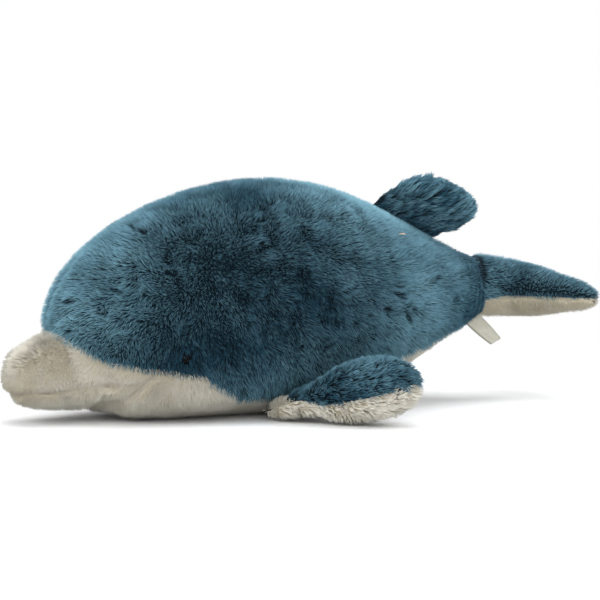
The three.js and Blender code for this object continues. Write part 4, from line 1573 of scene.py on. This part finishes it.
@dataclass
class Studio:
    """The pale floor, the soft lamps and the camera of the photograph."""

    turn: float = -25.0
    rise: float = 3.2
    distance: float = 1.3
    aim: tuple[float, float, float] = (0.0, 0.0, 0.09)
    aside: float = -0.85 * MM
    above: float = 1.7 * MM
    lens: float = 91.3

    def build(self) -> None:
        """Sets up the whole studio."""
        self._camera()
        self._floor()
        self._lamps()
        bpy.context.scene.view_settings.view_transform = "Standard"

    def _camera(self) -> None:
        """Stands the camera where the photograph was taken from."""
        around, up = math.radians(self.turn), math.radians(self.rise)
        back = Vector((math.sin(around) * math.cos(up), -math.cos(around) * math.cos(up), math.sin(up)))
        right = Vector((math.cos(around), math.sin(around), 0.0))
        lens = bpy.data.cameras.new("camera")
        lens.lens, lens.sensor_width, lens.sensor_fit = self.lens, 36.0, "HORIZONTAL"
        lens.clip_start, lens.clip_end = 0.05, 20.0
        camera = placed("camera", lens)
        target = Vector(self.aim) + right * self.aside + back.cross(right) * self.above
        camera.location = Vector(self.aim) + back * self.distance
        aimed(camera, target)
        bpy.context.scene.camera = camera

    def _floor(self) -> None:
        """Lays a pale floor that keeps the shadow and fades into a white background."""
        work = bmesh.new()
        bmesh.ops.create_grid(work, x_segments=2, y_segments=2, size=6.0)
        mesh = closed_off(work, "floor")
        recipe = Recipe("pale_floor")
        place = recipe.place()
        away = recipe.add("ShaderNodeVectorMath", {"operation": "LENGTH"}, {0: place}, "Value")
        path = {name: recipe.add("ShaderNodeLightPath", output=name)
                for name in ("Is Camera Ray", "Is Glossy Ray", "Is Transmission Ray")}
        seen = sum(path.values(), 0.0)
        speck = recipe.noise(35.0, 3.0)
        paper = recipe.blend(speck, (0.86, 0.86, 0.86), (0.9, 0.9, 0.9))
        matt = recipe.add("ShaderNodeBsdfDiffuse", None, {"Color": paper})
        white = recipe.add("ShaderNodeEmission", None, {"Color": (1.0, 1.0, 1.0), "Strength": 1.0})
        fade = away.step(0.34, 0.8) * seen.step(0.2, 0.8)
        mixed = recipe.add("ShaderNodeMixShader", None, {0: fade, 1: matt, 2: white})
        recipe.tree.links.new(mixed.socket, recipe.output.inputs["Surface"])
        shown("floor", mesh, recipe.material)

    def _lamps(self) -> None:
        """Hangs a large soft lamp above and one at each end, in a pale surround."""
        for name, place, size, power in (
            ("left_lamp", (-1.9, -0.2, 1.3), 1.6, 23.0),
            ("right_lamp", (1.7, -0.6, 1.5), 1.6, 29.0),
            ("top_lamp", (0.0, 0.3, 2.3), 2.0, 36.0),
            ("front_lamp", (-0.7, -2.0, 0.9), 1.6, 14.0),
        ):
            lamp = bpy.data.lights.new(name, "AREA")
            lamp.energy, lamp.size = power, size
            holder = placed(name, lamp)
            holder.location = place
            aimed(holder, Vector((0, 0, 0.08)))
        world = bpy.data.worlds.new("surround")
        world.use_nodes = True
        bpy.context.scene.world = world
        tree = world.node_tree
        tree.nodes.clear()
        kinds = ("OutputWorld", "Background", "Background", "MixShader", "LightPath")
        out, glow, back, mix, path = (tree.nodes.new(f"ShaderNode{kind}") for kind in kinds)
        glow.inputs["Color"].default_value = (0.93, 0.96, 1.0, 1.0)
        glow.inputs["Strength"].default_value = 0.6
        back.inputs["Color"].default_value = (1.0, 1.0, 1.0, 1.0)
        tree.links.new(path.outputs["Is Camera Ray"], mix.inputs[0])
        tree.links.new(glow.outputs[0], mix.inputs[1])
        tree.links.new(back.outputs[0], mix.inputs[2])
        tree.links.new(mix.outputs[0], out.inputs["Surface"])


def main() -> None:
    """Loads the frame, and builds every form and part."""
    logging.basicConfig(level=logging.INFO, format="%(name)s: %(message)s")
    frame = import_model()
    Studio().build()
    blue, white = Cloth.BLUE, Cloth.WHITE
    Torso(
        "body", "torso",
        {"left_side_panel": blue, "right_side_panel": blue, "belly_panel": white, "upper_beak_panel": white,
         "lower_jaw_panel": white},
        "body_filling", frame, voxel=4 * MM, spacing=1.08 * MM, clump=0.36, clump_size=2.6 * MM, rounds=12, seed=11,
        strand=Strand(0.44 * MM), puff=Puff(60.0, cap=2.0 * MM),
    ).build()
    # The fin's blue is set darker than the body's, painted shade.
    Limb("dorsal_fin", "dorsal_fin", {"dorsal_fin_left_panel": blue, "dorsal_fin_right_panel": blue},
         "dorsal_fin_filling", frame, voxel=3 * MM, depth=1.6 * MM, spacing=1.15 * MM, clump=0.6, clump_size=3.2 * MM,
         groove=1.2 * MM, seed=21, puff=Puff(80.0), strand=Strand(0.45 * MM, bent=True), joint="dorsal_fin_flop",
         length=11 * MM, lean=68, tuck=16 * MM, rearward=0.6, trim=0.35, ridge=0.3, tone=0.3, wander=0.12, contrast=2.4,
         sweep=9 * MM, streaks=True).build()
    # The flippers' blue is set darker than the body's, painted shade. Their white is set near its light tone, painted
    # light on the undersides.
    for number, side in ((31, "left"), (41, "right")):
        Limb(f"{side}_flipper", f"{side}_flipper",
             {f"{side}_flipper_top_panel": blue, f"{side}_flipper_underside_panel": white},
             f"{side}_flipper_filling", frame, voxel=3 * MM, depth=5.4 * MM, spacing=1.3 * MM, clump=0.45,
             clump_size=4.2 * MM, seed=number, strand=Strand(0.5 * MM, bent=True), joint=f"{side}_flipper_flap",
             length=10 * MM, lean=46, rearward=0.5, trim=-0.15, tone=0.22, shadow=0.2, pale=0.95,
             white_front=9 * MM, full=5 * MM, lift=0.6, wander=0.2).build()
    # The fluke's white underside is set to its shade tone, painted shade under the fluke.
    Fluke("fluke", "tail_fluke", {"fluke_top_panel": blue, "fluke_underside_panel": white}, "fluke_filling", frame,
          voxel=3 * MM, depth=3.6 * MM, spacing=1.3 * MM, clump=0.36, clump_size=2.8 * MM, rounds=2, seed=51,
          puff=Puff(34.0), joint="tail_fluke_bend", length=6 * MM, lean=36, trim=0.3, rearward=0.5, bare=42 * MM,
          inside=-45 * MM, tone=0.38, pale=0.03).build()
    for side in ("left", "right"):
        SafetyEye(side, frame).build()
    SewnTag(frame).build()
    ThreadEnd().build()


if __name__ == "__main__":
    main()
